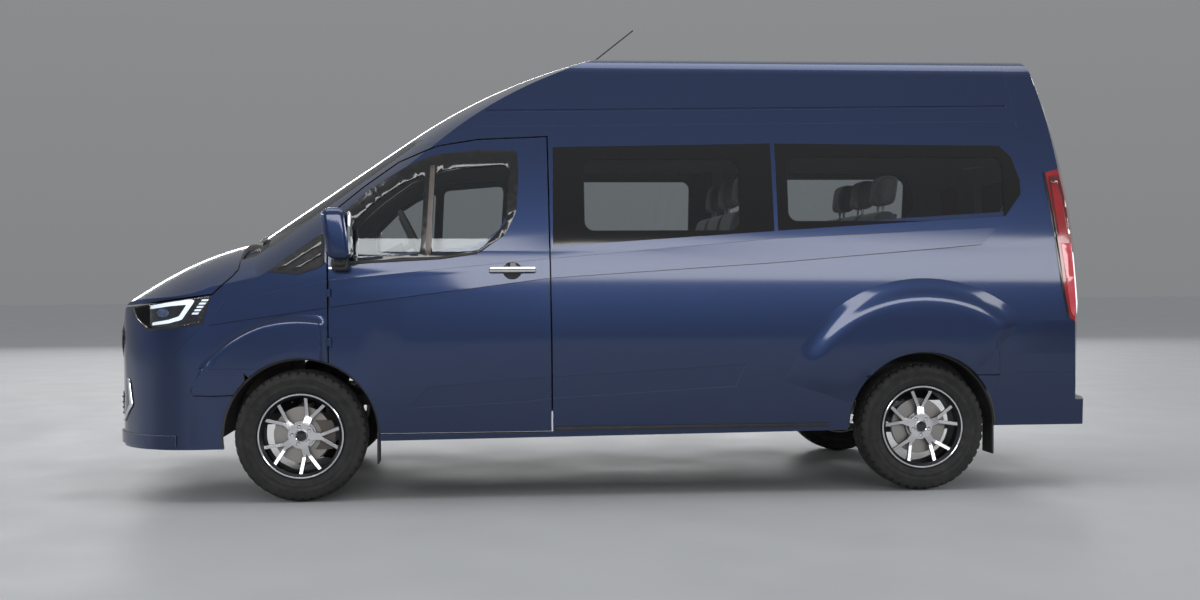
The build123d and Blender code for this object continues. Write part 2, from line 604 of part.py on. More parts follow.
tyre_left = revolved([*TYRE_SECTION, *[(-across, radius) for across, radius in reversed(TYRE_SECTION)]])
barrel = revolved(RIM_SECTION)
# Dished spoke face: across and radius of front and back
DISH = [(HUB_FACE, 0), (HUB_FACE, HUB_RADIUS), (-58, 110), (-80, SPOKE_END), (-62, SPOKE_END),
        (-36, 100), (PAD_FACE, HUB_RADIUS), (PAD_FACE, 0)]
with BuildPart() as spokes:
    with BuildSketch(Plane.XZ) as star:
        Circle(HUB_RADIUS)
        with PolarLocations(0, SPOKES, start_angle=90):
            with Locations(((BRANCH_START + STEM_PAST) / 2, 0)):
                Rectangle(BRANCH_START + STEM_PAST, STEM_WIDTH)
        for lean in (-1, 1):
            for arm in range(SPOKES):
                turn = 90 + arm * 360 / SPOKES
                bend = turn + lean * BRANCH_SPREAD
                foot = (BRANCH_START * cos(radians(turn)), BRANCH_START * sin(radians(turn)))
                tip = (SPOKE_END * cos(radians(bend)), SPOKE_END * sin(radians(bend)))
                angle = degrees(atan2(tip[1] - foot[1], tip[0] - foot[0]))
                reach = sqrt((tip[0] - foot[0]) ** 2 + (tip[1] - foot[1]) ** 2)
                with Locations(Location(((tip[0] + foot[0]) / 2, (tip[1] + foot[1]) / 2), angle)):
                    Rectangle(reach + BRANCH_WIDTH, BRANCH_WIDTH)
    extrude(amount=TYRE_WIDTH, both=True)
    add(revolved(DISH), mode=Mode.INTERSECT)
    with BuildSketch(Plane.XZ.offset(-HUB_FACE + 1)):
        Circle(SPINDLE_RADIUS + RUNNING_FIT)
        with PolarLocations(BOLT_CIRCLE, SPOKES, start_angle=90 + 180 / SPOKES):
            Circle(BOLT_RADIUS)
    extrude(amount=-TYRE_WIDTH / 2, mode=Mode.SUBTRACT)
rim_left = barrel + spokes.part
DISC_BACK = -16.0
HAT_RADIUS = 74.0
HAT_WALL = 10.0
HAT = [(PAD_FACE + SEAT, SPINDLE_RADIUS + RUNNING_FIT), (PAD_FACE + SEAT, HAT_RADIUS), (DISC_BACK, HAT_RADIUS),
       (DISC_BACK, DISC_RADIUS), (DISC_BACK + DISC_THICK, DISC_RADIUS),
       (DISC_BACK + DISC_THICK, HAT_RADIUS - HAT_WALL), (PAD_FACE + HAT_WALL, HAT_RADIUS - HAT_WALL),
       (PAD_FACE + HAT_WALL, SPINDLE_RADIUS + RUNNING_FIT)]
disc_left = revolved(HAT)

# Front knuckle: upright, stub spindle and brake caliper; arms carry it on two upright pins
KINGPIN_Y = TRACK_HALF - KINGPIN_SHIFT
UPRIGHT_HALF = 22.0
ARM_LOW = (180.0, 215.0)
ARM_HIGH = (465.0, 495.0)
SPINDLE_END = TRACK_HALF + 60.0
CALIPER_OUT = 172.0
CALIPER_IN = 100.0
CALIPER_TALL = 150.0
CALIPER_WIDE = 64.0
CALIPER_BACK = 30.0
DISC_ROOM = (4.0, 3.0)
BRIDGE_X = (30.0, 125.0)
BRIDGE_HALF = 34.0
BRIDGE_FACE = 11.5
UPRIGHT_LONG = 40.0
PIN_DEEP = 46.0
with BuildPart() as caliper:
    with BuildSketch(Plane.XZ.offset(TRACK_HALF - CALIPER_BACK)):
        with Locations((AXLE_FRONT, TYRE_RADIUS)):
            Circle(CALIPER_OUT)
            Circle(CALIPER_IN, mode=Mode.SUBTRACT)
        with Locations((AXLE_FRONT + FAR / 2 + WALL, TYRE_RADIUS)):
            Rectangle(FAR, CALIPER_TALL, mode=Mode.INTERSECT)
    extrude(amount=CALIPER_WIDE)
    disc_room = rod(AXLE_FRONT, -TRACK_HALF + DISC_THICK / 2 + DISC_BACK, TYRE_RADIUS,
                    DISC_RADIUS + DISC_ROOM[0], DISC_THICK + 2 * DISC_ROOM[1], (0, 1, 0))
    add(disc_room, mode=Mode.SUBTRACT)
kingpin_bores = rod(AXLE_FRONT, -KINGPIN_Y, TYRE_RADIUS, KINGPIN_RADIUS + RUNNING_FIT, FAR, (0, 0, 1)) - \
    block(-2 * FAR, 0, -FAR, 0, ARM_LOW[1] + PIN_DEEP, ARM_HIGH[0] - PIN_DEEP)
with BuildPart() as knuckle_left:
    add(block(AXLE_FRONT - UPRIGHT_LONG, AXLE_FRONT + UPRIGHT_LONG, -KINGPIN_Y - UPRIGHT_HALF,
              -KINGPIN_Y + UPRIGHT_HALF, ARM_LOW[1] + SEAT, ARM_HIGH[0] - SEAT))
    add(rod(AXLE_FRONT, -(KINGPIN_Y + SPINDLE_END) / 2, TYRE_RADIUS, SPINDLE_RADIUS, SPINDLE_END - KINGPIN_Y,
            (0, 1, 0)))
    add(caliper.part)
    add(block(AXLE_FRONT + BRIDGE_X[0], AXLE_FRONT + BRIDGE_X[1], -TRACK_HALF + BRIDGE_FACE,
              -KINGPIN_Y + UPRIGHT_HALF, TYRE_RADIUS - BRIDGE_HALF, TYRE_RADIUS + BRIDGE_HALF))
    add(kingpin_bores, mode=Mode.SUBTRACT)

# Front suspension: cross member, posts, lower and upper arms with their pins
POST_Y = (RAIL_Y[1] + SEAT, 540.0)
MEMBER_Z = (180.0, 260.0)
MEMBER_HALF = 60.0
ARM_PAST = 18.0
PIN_HIGH = 84.0
# Arms: lower and upper face, where the pin is centred, half length
ARMS = [(*ARM_LOW, ARM_LOW[1], 26.0), (*ARM_HIGH, ARM_HIGH[0], 26.0)]
MEMBER_X = (AXLE_FRONT - MEMBER_HALF, AXLE_FRONT + MEMBER_HALF)
with BuildPart() as front_suspension:
    add(block(*MEMBER_X, -POST_Y[1], POST_Y[1], *MEMBER_Z))
    for side in (-1, 1):
        add(block(*MEMBER_X, *sorted((side * POST_Y[0], side * POST_Y[1])), MEMBER_Z[0], ARM_HIGH[1]))
        add(block(*MEMBER_X, *sorted((side * RAIL_Y[0], side * POST_Y[1])), MEMBER_Z[1] - ARM_PAST,
                  RAIL_Z[0] - SEAT))
        for low, high, pin, half in ARMS:
            add(block(AXLE_FRONT - half, AXLE_FRONT + half,
                      *sorted((side * RAIL_Y[1], side * (KINGPIN_Y + ARM_PAST))), low, high))
            add(rod(AXLE_FRONT, side * KINGPIN_Y, pin, KINGPIN_RADIUS, PIN_HIGH, (0, 0, 1)))

# Rear beam axle with spindles and spring seats, and leaf springs hung from the floor
BEAM_RADIUS = 38.0
SPRING_Y = 610.0
SPRING_WIDTH = 60.0
SPRING_THICK = 26.0
SPRING_HALF = 560.0
SPRING_PAD = (24.0, 34.0)
SPRING_RISE = 90.0
SPRING_TOP = TYRE_RADIUS - BEAM_RADIUS - SEAT
BEAM_SHORT = 20.0
with BuildPart() as rear_axle:
    add(rod(AXLE_REAR, 0, TYRE_RADIUS, BEAM_RADIUS, 2 * (KINGPIN_Y - BEAM_SHORT), (0, 1, 0)))
    add(rod(AXLE_REAR, 0, TYRE_RADIUS, SPINDLE_RADIUS, 2 * SPINDLE_END, (0, 1, 0)))
    for side in (-1, 1):
        add(block(AXLE_REAR - SPRING_PAD[0], AXLE_REAR + SPRING_PAD[0], side * SPRING_Y - SPRING_PAD[1],
                  side * SPRING_Y + SPRING_PAD[1], SPRING_TOP + SEAT, TYRE_RADIUS))
leaf = []
HANGER = 40.0
SPRING_ENDS = (AXLE_REAR - SPRING_HALF, AXLE_REAR + SPRING_HALF)
for side in (-1, 1):
    with BuildPart() as spring:
        with BuildSketch(Plane.XZ.offset(-side * SPRING_Y - SPRING_WIDTH / 2)):
            with BuildLine():
                top = ThreePointArc((SPRING_ENDS[0], SPRING_TOP + SPRING_RISE), (AXLE_REAR, SPRING_TOP),
                                    (SPRING_ENDS[1], SPRING_TOP + SPRING_RISE))
                low = ThreePointArc((SPRING_ENDS[0], SPRING_TOP + SPRING_RISE - SPRING_THICK),
                                    (AXLE_REAR, SPRING_TOP - SPRING_THICK),
                                    (SPRING_ENDS[1], SPRING_TOP + SPRING_RISE - SPRING_THICK))
                Line(top @ 0, low @ 0)
                Line(top @ 1, low @ 1)
            make_face()
        extrude(amount=SPRING_WIDTH)
        for hang in (SPRING_ENDS[0] + HANGER / 2, SPRING_ENDS[1] - HANGER / 2):
            add(block(hang - HANGER / 2, hang + HANGER / 2, side * SPRING_Y - SPRING_WIDTH / 2,
                      side * SPRING_Y + SPRING_WIDTH / 2, SPRING_TOP + SPRING_RISE - SPRING_THICK,
                      FLOOR_TOP - FLOOR_THICK - SEAT))
    leaf.append(spring.part)

# Engine, fuel tank and exhaust
ENGINE = (-2330.0, -1790.0, -300.0, 300.0, 340.0, 930.0)
ENGINE_MOUNTS = [-2250.0, -1900.0]
MOUNT_HALF = 40.0
MOUNT_INSET = 10.0
TANK_SIZE = (900.0, 520.0)
TANK_AT = (450.0, -260.0)
TANK_FOOT = 290.0
TANK_ROUND = 60.0
UNDERSIDE = FLOOR_TOP - FLOOR_THICK - SEAT
EXHAUST_X = (-1100.0, 1540.0)
EXHAUST_YZ = (330.0, 360.0)
PIPE_RADIUS = 28.0
SILENCER = (1000.0, 80.0, 620.0)
EXHAUST_HANGERS = [-400.0, 700.0, 1300.0]
STRAP = (15.0, 8.0)
with BuildPart() as engine:
    add(block(*ENGINE))
    for x in ENGINE_MOUNTS:
        add(block(x - MOUNT_HALF, x + MOUNT_HALF, -RAIL_Y[0] + SEAT, RAIL_Y[0] - SEAT, RAIL_Z[0] + MOUNT_INSET,
                  RAIL_Z[1] - MOUNT_INSET))
with BuildPart() as fuel_tank:
    with Locations((*TANK_AT, (UNDERSIDE + TANK_FOOT) / 2)):
        Box(*TANK_SIZE, UNDERSIDE - TANK_FOOT)
    fillet(fuel_tank.edges().filter_by(Axis.Z), TANK_ROUND)
with BuildPart() as exhaust:
    add(rod(sum(EXHAUST_X) / 2, *EXHAUST_YZ, PIPE_RADIUS, EXHAUST_X[1] - EXHAUST_X[0], (1, 0, 0)))
    add(rod(SILENCER[0], *EXHAUST_YZ, SILENCER[1], SILENCER[2], (1, 0, 0)))
    for x in EXHAUST_HANGERS:
        add(block(x - STRAP[0], x + STRAP[0], EXHAUST_YZ[0] - STRAP[1], EXHAUST_YZ[0] + STRAP[1], EXHAUST_YZ[1],
                  UNDERSIDE))

# Dashboard with steering column tube; the wheel's shaft turns in it
WHEEL_AT = (-1083.0, -400.0, 1358.0)
WHEEL_RADIUS = 190.0
COLUMN_LEAN = 26.7
SHAFT_RADIUS = 16.0
DASH_HALF = 850.0
TUBE_RADIUS = 38.0
TUBE_START = 70.0
TUBE_LONG = 220.0
BOSS_RADIUS = 62.0
BOSS = (-30.0, 26.0)
SPOKE_WIDE = 34.0
SHAFT_END = 180.0
RIM_SIDES = 10
COLUMN_AXIS = (cos(radians(COLUMN_LEAN)), 0, sin(radians(COLUMN_LEAN)))
column = Plane(origin=WHEEL_AT, x_dir=(0, 1, 0), z_dir=COLUMN_AXIS)
DASH = [(FIREWALL[1] + SEAT, 880), (FIREWALL[1] + SEAT, 1262), (-1480, 1296), (-1330, 1280), (-1262, 1210),
        (-1250, 1010), (-1340, 880)]
with BuildPart() as dashboard:
    add(side_tool(DASH, -DASH_HALF, DASH_HALF) & INNER)
    with BuildSketch(column.offset(-TUBE_START)):
        Circle(TUBE_RADIUS)
    extrude(amount=-TUBE_LONG)
    with BuildSketch(column):
        Circle(SHAFT_RADIUS + RUNNING_FIT)
    extrude(amount=-TUBE_LONG, mode=Mode.SUBTRACT)
with BuildPart() as steering_wheel:
    with BuildSketch(Plane(origin=column.origin + column.x_dir * WHEEL_RADIUS, x_dir=column.x_dir,
                           z_dir=column.y_dir)):
        RegularPolygon(SHAFT_RADIUS, RIM_SIDES)
    revolve(axis=Axis(column.origin, column.z_dir))
    with BuildSketch(column.offset(BOSS[0])):
        Circle(BOSS_RADIUS)
        with PolarLocations(0, 3, start_angle=180):
            with Locations((WHEEL_RADIUS / 2, 0)):
                Rectangle(WHEEL_RADIUS, SPOKE_WIDE)
    extrude(amount=BOSS[1])
    with BuildSketch(column.offset(BOSS[0] / 2)):
        Circle(SHAFT_RADIUS)
    extrude(amount=-SHAFT_END)

# Seats: side profile of one seat, and the places of all of them
CUSHION = [(-520, 330), (-530, 430), (-480, 470), (0, 440), (130, 1000), (210, 985), (110, 400), (60, 330)]
HEAD = [(120, 1040), (150, 1200), (215, 1205), (235, 1060)]
PEDESTAL = (-440.0, 20.0, 60.0, 370.0)
HEAD_HALF = 130.0
POST_APART = 50.0
POST_HALF = 8.0
POST_X = 163.0
POST_Z = (940.0, 1100.0)
# Seats: x of the hip line, y of the middle, width, places of the head rests
FRONT_SEATS = [(-640.0, -400.0, 500.0, (0.0,)), (-640.0, 330.0, 860.0, (-215.0, 215.0))]
REAR_SEATS = [(560.0, -90.0, 1380.0, (-460.0, 0.0, 460.0)), (1390.0, 0.0, 1300.0, (-430.0, 0.0, 430.0))]


def seat(hip, middle, width, heads):
    """One seat or bench standing on the floor."""
    front, back, inset, tall = PEDESTAL
    with BuildPart() as chair:
        cushion = [(hip + x, FLOOR_TOP + z) for x, z in CUSHION]
        add(side_tool(cushion, -middle - width / 2, -middle + width / 2))
        add(block(hip + front, hip + back, middle - width / 2 + inset, middle + width / 2 - inset, FLOOR_TOP,
                  FLOOR_TOP + tall))
        for place in heads:
            rest = [(hip + x, FLOOR_TOP + z) for x, z in HEAD]
            add(side_tool(rest, -middle - place - HEAD_HALF, -middle - place + HEAD_HALF))
            for post in (middle + place - POST_APART, middle + place + POST_APART):
                add(block(hip + POST_X - POST_HALF, hip + POST_X + POST_HALF, post - POST_HALF,
                          post + POST_HALF, FLOOR_TOP + POST_Z[0], FLOOR_TOP + POST_Z[1]))
    return chair.part


# Mirror on its door: foot, arm and housing
MIRROR_X = (-1500.0, -1392.0)
MIRROR_Z = (1252.0, 1520.0)
MIRROR_Y = (1030.0, 1196.0)
MIRROR_ROUND = 34.0
MIRROR_EDGE = 14.0
MIRROR_FOOT = (-1478.0, -1412.0, -1060.0, -940.0, 1205.0, 1262.0)
MIRROR_NECK = (-1470.0, -1425.0, -1090.0, -1030.0, 1225.0, 1300.0)
with BuildPart() as mirror_left:
    add(block(*MIRROR_X, -MIRROR_Y[1], -MIRROR_Y[0], *MIRROR_Z))
    fillet(mirror_left.edges().filter_by(Axis.Z), MIRROR_ROUND)
    chamfer(mirror_left.faces().sort_by(Axis.Z)[-1].edges(), MIRROR_EDGE)
    chamfer(mirror_left.faces().sort_by(Axis.Z)[0].edges(), MIRROR_EDGE)
    add(block(*MIRROR_FOOT) - FORM.moved(Location((0, -SEAT, 0))))
    add(block(*MIRROR_NECK))

# Wipers that follow the glass, and the aerial
WIPERS = [[(-690, 1352), (-690, 1368), (-60, 1438), (-60, 1424)],
          [(60, 1408), (60, 1424), (650, 1404), (650, 1388)]]
GATE_WIPER = [[(-20, 1322), (-20, 1356), (20, 1356), (20, 1322)],
              [(-20, 1340), (-20, 1356), (460, 1396), (460, 1380)]]
SCREEN_SPAN = (-2200.0, -900.0)
TAIL_SPAN = (2300.0, 2800.0)


def wiper(outlines, x_start, x_end):
    with BuildPart() as blade:
        for outline in outlines:
            with BuildSketch(Plane.YZ.offset(x_start)):
                with BuildLine():
                    Polyline(*outline, close=True)
                make_face()
            extrude(amount=x_end - x_start)
        add(FORM_PAD, mode=Mode.INTERSECT)
        add(FORM, mode=Mode.SUBTRACT)
    return blade.part


front_wipers = wiper(WIPERS, *SCREEN_SPAN)
rear_wiper = wiper(GATE_WIPER, *TAIL_SPAN)
AERIAL_FOOT = (-134.0, 2371.0)
AERIAL_REACH = (322.0, 254.0)
AERIAL_RADIUS = 4.0
AERIAL_BASE = (110.0, 52.0, 40.0)
with BuildPart() as aerial:
    mast = Plane(origin=(AERIAL_FOOT[0], 0, AERIAL_FOOT[1]), z_dir=(AERIAL_REACH[0], 0, AERIAL_REACH[1]))
    with BuildSketch(mast):
        Circle(AERIAL_RADIUS)
    extrude(amount=sqrt(AERIAL_REACH[0] ** 2 + AERIAL_REACH[1] ** 2))
    with Locations((AERIAL_FOOT[0] + AERIAL_BASE[2] / 2, 0, AERIAL_FOOT[1] + AERIAL_RADIUS * 3)):
        Box(*AERIAL_BASE)
    add(FORM.moved(Location((0, 0, SEAT))), mode=Mode.SUBTRACT)

# Write every piece
for name, piece in (("floor_pan", floor_pan), ("front_structure", front_structure), ("side_left", side_left),
                    ("side_right", side_right), ("sliding_door", sliding_door), ("roof", roof),
                    ("rear_header", rear_header), ("front_bumper", front_bumper), ("grille", grille),
                    ("cowl", cowl), ("bonnet", bonnet), ("rear_bumper", rear_bumper),
                    ("dashboard", dashboard), ("steering_wheel", steering_wheel), ("engine", engine),
                    ("fuel_tank", fuel_tank), ("exhaust", exhaust), ("front_suspension", front_suspension),
                    ("rear_axle", rear_axle), ("aerial", aerial)):
    label(name, piece.part)
for name, piece in (("windscreen", screen_pane), ("tailgate_glass", gate_pane), ("front_wipers", front_wipers),
                    ("rear_wiper", rear_wiper), ("sliding_door_glass", flip(front_pane)),
                    ("side_glass_right", flip(rear_pane))):
    label(name, piece)
for name, pieces in (("wings", wings), ("headlamps", headlamps), ("tail_lamps", tail_lamps),
                     ("leaf_springs", leaf), ("side_glass_left", [front_pane, rear_pane]),
                     ("tailgate", [tailgate.part, plate_bar]),
                     ("front_seats", [seat(*row) for row in FRONT_SEATS]),
                     ("rear_seats", [seat(*row) for row in REAR_SEATS])):
    label(name, Compound(children=pieces))
for hand, turn in (("left", lambda shape: shape), ("right", flip)):
    label(f"door_{hand}", turn(door_left.part))
    label(f"door_glass_{hand}", turn(door_pane))
    label(f"mirror_{hand}", turn(mirror_left.part))
    label(f"knuckle_{hand}", turn(knuckle_left.part))
for name, axle, turn, hand in (("front_left", AXLE_FRONT, FRONT_TURN, lambda shape: shape),
                               ("front_right", AXLE_FRONT, FRONT_TURN, flip),
                               ("rear_left", AXLE_REAR, 0, lambda shape: shape),
                               ("rear_right", AXLE_REAR, 0, flip)):
    place = Location((axle, -TRACK_HALF, TYRE_RADIUS), (0, turn, 0))
    label(f"tyre_{name}", hand(tyre_left.moved(place)))
    label(f"rim_{name}", Compound(children=[hand(rim_left.moved(place)), hand(disc_left.moved(place))]))
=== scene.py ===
import json
from math import acos, asin, atan2, cos, pi, radians, sin, tau

import bmesh
import bpy
from mathutils import Matrix, Vector
from mathutils.bvhtree import BVHTree


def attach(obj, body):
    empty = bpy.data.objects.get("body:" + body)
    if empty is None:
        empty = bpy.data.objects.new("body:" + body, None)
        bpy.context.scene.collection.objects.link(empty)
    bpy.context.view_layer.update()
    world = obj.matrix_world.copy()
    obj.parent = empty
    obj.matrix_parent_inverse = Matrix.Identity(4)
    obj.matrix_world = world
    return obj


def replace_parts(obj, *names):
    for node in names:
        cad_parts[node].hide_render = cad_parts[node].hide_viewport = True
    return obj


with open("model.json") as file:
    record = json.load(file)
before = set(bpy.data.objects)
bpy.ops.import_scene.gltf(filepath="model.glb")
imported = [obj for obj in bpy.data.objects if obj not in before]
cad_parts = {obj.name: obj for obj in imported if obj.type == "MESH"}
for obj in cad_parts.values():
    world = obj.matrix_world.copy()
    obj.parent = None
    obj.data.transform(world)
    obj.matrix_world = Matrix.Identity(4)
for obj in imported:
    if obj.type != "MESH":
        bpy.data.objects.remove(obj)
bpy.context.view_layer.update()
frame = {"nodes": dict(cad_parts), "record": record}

NODES = frame["nodes"]
MM = 0.001
SIDES = {"left": -1, "right": 1}


# Materials

class Finish:
    """One material, and the pattern nodes that feed its shader."""

    def __init__(self, name, colour, roughness=0.5, metallic=0.0, **more):
        self.mat = bpy.data.materials.new(name)
        self.mat.use_nodes = True
        self.tree = self.mat.node_tree
        self.shader = self.tree.nodes["Principled BSDF"]
        self.shader.inputs["Base Color"].default_value = (*colour, 1)
        self.shader.inputs["Roughness"].default_value = roughness
        self.shader.inputs["Metallic"].default_value = metallic
        for key, value in more.items():
            self.shader.inputs[key.replace("_", " ")].default_value = value
        self.place = self.add("ShaderNodeTexCoord")
        self.normal = None

    def add(self, kind, feeds=None, **settings):
        node = self.tree.nodes.new(kind)
        for key, value in settings.items():
            setattr(node, key, value)
        for key, value in (feeds or {}).items():
            if isinstance(value, bpy.types.NodeSocket):
                self.tree.links.new(value, node.inputs[key])
            else:
                node.inputs[key].default_value = value
        return node

    def math(self, operation, first, second=0.0):
        return self.add("ShaderNodeMath", {0: first, 1: second}, operation=operation).outputs[0]

    def vector(self, operation, first, second=(0, 0, 0)):
        node = self.add("ShaderNodeVectorMath", {0: first, 1: second}, operation=operation)
        return node.outputs["Value" if operation in ("DOT_PRODUCT", "LENGTH") else "Vector"]

    def noise(self, scale, detail=3.0):
        feeds = {"Vector": self.place.outputs["Object"], "Scale": scale, "Detail": detail}
        return self.add("ShaderNodeTexNoise", feeds).outputs["Fac"]

    def span(self, value, low, high, to_low=0.0, to_high=1.0):
        feeds = {"Value": value, "From Min": low, "From Max": high, "To Min": to_low, "To Max": to_high}
        return self.add("ShaderNodeMapRange", feeds).outputs["Result"]

    def mix(self, share, first, second):
        """Blend of two colours; the node keeps its colours in sockets 6 and 7."""
        feeds = {0: share, 6: first, 7: second}
        return self.add("ShaderNodeMix", feeds, data_type="RGBA").outputs[2]

    def patches(self, scale, low, high, detail=3.0):
        """Soft noise stretched between two values."""
        return self.span(self.noise(scale, detail), 0.3, 0.7, low, high)

    def feed(self, socket, value):
        self.tree.links.new(value, self.shader.inputs[socket])
        return self

    def mottle(self, other, scale, share=1.0):
        """Colour that drifts towards another in soft patches."""
        own = tuple(self.shader.inputs["Base Color"].default_value)
        return self.feed("Base Color", self.mix(self.patches(scale, 0.0, share), own, (*other, 1)))

    def wear(self, low, high, scale):
        """Gloss that varies, as on a surface that has been handled and wiped."""
        return self.feed("Roughness", self.patches(scale, low, high, 5.0))

    def round_edges(self, radius):
        """Edges that catch light as if slightly rounded."""
        self.normal = self.add("ShaderNodeBevel", {"Radius": radius}, samples=4).outputs["Normal"]
        return self.feed("Normal", self.normal)

    def grain(self, scale, depth, detail=3.0):
        """Fine relief."""
        feeds = {"Height": self.noise(scale, detail), "Strength": 1.0, "Distance": depth}
        if self.normal:
            feeds["Normal"] = self.normal
        return self.feed("Normal", self.add("ShaderNodeBump", feeds).outputs["Normal"])


TRIM_GREY = (0.2, 0.195, 0.19, 1)
FLAKE_DARK, FLAKE_LIGHT = (0.007, 0.017, 0.06, 1), (0.018, 0.041, 0.125, 1)
PAINT_DRIFT = (0.01, 0.024, 0.08, 1)
EDGE_RADIUS = 0.004
# The cabin's middle, the weight of each axis in the way out from it,
# and the facing below which a face is inside
CABIN_MIDDLE, CABIN_WEIGHT, INSIDE_BELOW = (0, 0, 1.2), (0.3, 1, 1), -0.2


def body_paint(name, lined):
    """Dark blue metallic paint under clear coat; the cabin side of a lined panel is grey trim."""
    paint = Finish(name, (0.02, 0.045, 0.14), 0.3, 0.85, Coat_Weight=1.0, Coat_Roughness=0.07)
    feeds = {"Vector": paint.place.outputs["Object"], "Scale": 1100.0}
    flake = paint.add("ShaderNodeTexVoronoi", feeds).outputs["Distance"]
    colour = paint.mix(flake, FLAKE_DARK, FLAKE_LIGHT)
    colour = paint.mix(paint.patches(0.9, 0.0, 0.2), colour, PAINT_DRIFT)
    if not lined:
        paint.feed("Base Color", colour).wear(0.3, 0.36, 2.0)
        return paint.round_edges(EDGE_RADIUS).grain(140.0, 3e-5)
    from_middle = paint.vector("SUBTRACT", paint.place.outputs["Object"], CABIN_MIDDLE)
    from_middle = paint.vector("MULTIPLY", from_middle, CABIN_WEIGHT)
    facing = paint.vector("DOT_PRODUCT", paint.place.outputs["Normal"], from_middle)
    inside = paint.math("LESS_THAN", facing, INSIDE_BELOW)
    paint.feed("Base Color", paint.mix(inside, colour, TRIM_GREY))
    paint.feed("Metallic", paint.span(inside, 0.0, 1.0, 0.85, 0.0))
    paint.feed("Coat Weight", paint.span(inside, 0.0, 1.0, 1.0, 0.0))
    paint.feed("Roughness", paint.span(inside, 0.0, 1.0, 0.34, 0.8))
    return paint.round_edges(EDGE_RADIUS).grain(140.0, 3e-5)


def glazing(name, clear=(), axis=0):
    """Tinted glass; where clear boxes are given, the rest of the pane is black."""
    glass = Finish(name, (0.006, 0.006, 0.007), 0.04, Coat_Weight=0.3)
    glass.grain(2.5, 0.0003)
    pane = glass.add("ShaderNodeBsdfTransparent", {"Color": (0.84, 0.86, 0.87, 1)})
    shine = glass.add("ShaderNodeBsdfGlossy", {"Color": (0.9, 0.93, 0.95, 1), "Roughness": 0.015})
    rim = glass.add("ShaderNodeFresnel", {"IOR": 1.5}).outputs["Fac"]
    sheet = glass.add("ShaderNodeMixShader", {0: rim, 1: pane.outputs[0], 2: shine.outputs[0]}).outputs[0]
    shown = sheet
    if clear:
        open_share = 0.0
        for across, up, half_across, half_up, corner in clear:
            centre, half = [0, 0, up], [9, 9, half_up - corner]
            centre[axis], half[axis] = across, half_across - corner
            away = glass.vector("ABSOLUTE", glass.vector("SUBTRACT", glass.place.outputs["Object"], centre))
            away = glass.vector("MAXIMUM", glass.vector("SUBTRACT", away, half), (0, 0, 0))
            reach = glass.vector("LENGTH", away)
            open_share = glass.math("MAXIMUM", open_share, glass.span(reach, corner + 0.003, corner))
        feeds = {0: open_share, 1: glass.shader.outputs[0], 2: sheet}
        shown = glass.add("ShaderNodeMixShader", feeds).outputs[0]
    glass.tree.links.new(shown, glass.tree.nodes["Material Output"].inputs["Surface"])
    return glass


def lens(name, tint, roughness=0.02):
    """Clear moulded lamp lens."""
    cover = Finish(name, tint, roughness)
    pane = cover.add("ShaderNodeBsdfTransparent", {"Color": (*tint, 1)})
    shine = cover.add("ShaderNodeBsdfGlossy", {"Roughness": roughness})
    rim = cover.add("ShaderNodeFresnel", {"IOR": 1.48}).outputs["Fac"]
    feeds = {0: rim, 1: pane.outputs[0], 2: shine.outputs[0]}
    sheet = cover.add("ShaderNodeMixShader", feeds).outputs[0]
    cover.tree.links.new(sheet, cover.tree.nodes["Material Output"].inputs["Surface"])
    return cover


# How squarely a machined face looks outwards, and how far from the van's middle
# the spoke faces start and the brake disc ends
MACHINED_FACING, SPOKE_FACE, DISC_FACE = 0.72, 0.898, 0.887


def wheel_metal():
    """Alloy with bright machined outer faces, dark painted pockets, and the grey brake disc behind."""
    alloy = Finish("machined_alloy", (0.62, 0.62, 0.64), 0.28, 1.0)
    face = alloy.add("ShaderNodeSeparateXYZ", {0: alloy.vector("ABSOLUTE", alloy.place.outputs["Normal"])})
    place = alloy.add("ShaderNodeSeparateXYZ", {0: alloy.vector("ABSOLUTE", alloy.place.outputs["Object"])})
    flat = alloy.math("GREATER_THAN", face.outputs["Y"], MACHINED_FACING)
    outer = alloy.math("GREATER_THAN", place.outputs["Y"], SPOKE_FACE)
    bright = alloy.math("MULTIPLY", flat, outer)
    disc = alloy.math("LESS_THAN", place.outputs["Y"], DISC_FACE)
    base = alloy.mix(disc, (0.035, 0.035, 0.04, 1), (0.3, 0.29, 0.28, 1))
    streak = alloy.patches(260.0, 0.0, 0.25)
    machined = alloy.mix(streak, (0.72, 0.72, 0.74, 1), (0.5, 0.5, 0.52, 1))
    alloy.feed("Base Color", alloy.mix(bright, base, machined))
    alloy.feed("Roughness", alloy.span(bright, 0.0, 1.0, 0.42, 0.22))
    return alloy.round_edges(0.0025)


PAINT = body_paint("blue_metallic_paint", True)
CAP_PAINT = body_paint("blue_metallic_cap", False)
BLACK_GLOSS = Finish("black_gloss", (0.008, 0.008, 0.009), 0.12, Coat_Weight=0.6)
BLACK_GLOSS.wear(0.08, 0.2, 30).grain(60, 2e-5)
BLACK_PLASTIC = Finish("black_grained_plastic", (0.018, 0.018, 0.02), 0.5)
BLACK_PLASTIC.mottle((0.028, 0.028, 0.03), 12).wear(0.42, 0.62, 40).round_edges(0.002).grain(700, 1.2e-4)
CHROME = Finish("chrome", (0.82, 0.83, 0.85), 0.07, 1.0).mottle((0.74, 0.75, 0.77), 30).wear(0.04, 0.12, 25)
SATIN = Finish("satin_grille_panel", (0.13, 0.115, 0.105), 0.32, 0.7)
SATIN.mottle((0.1, 0.09, 0.085), 20).grain(500, 5e-5)
RUBBER = Finish("tyre_rubber", (0.011, 0.011, 0.012), 0.74)
RUBBER.mottle((0.02, 0.0195, 0.019), 9).wear(0.6, 0.85, 30).grain(420, 1.5e-4)
STEEL = Finish("brushed_steel", (0.3, 0.3, 0.31), 0.42, 1.0)
STEEL.mottle((0.2, 0.19, 0.18), 15).wear(0.3, 0.55, 60)
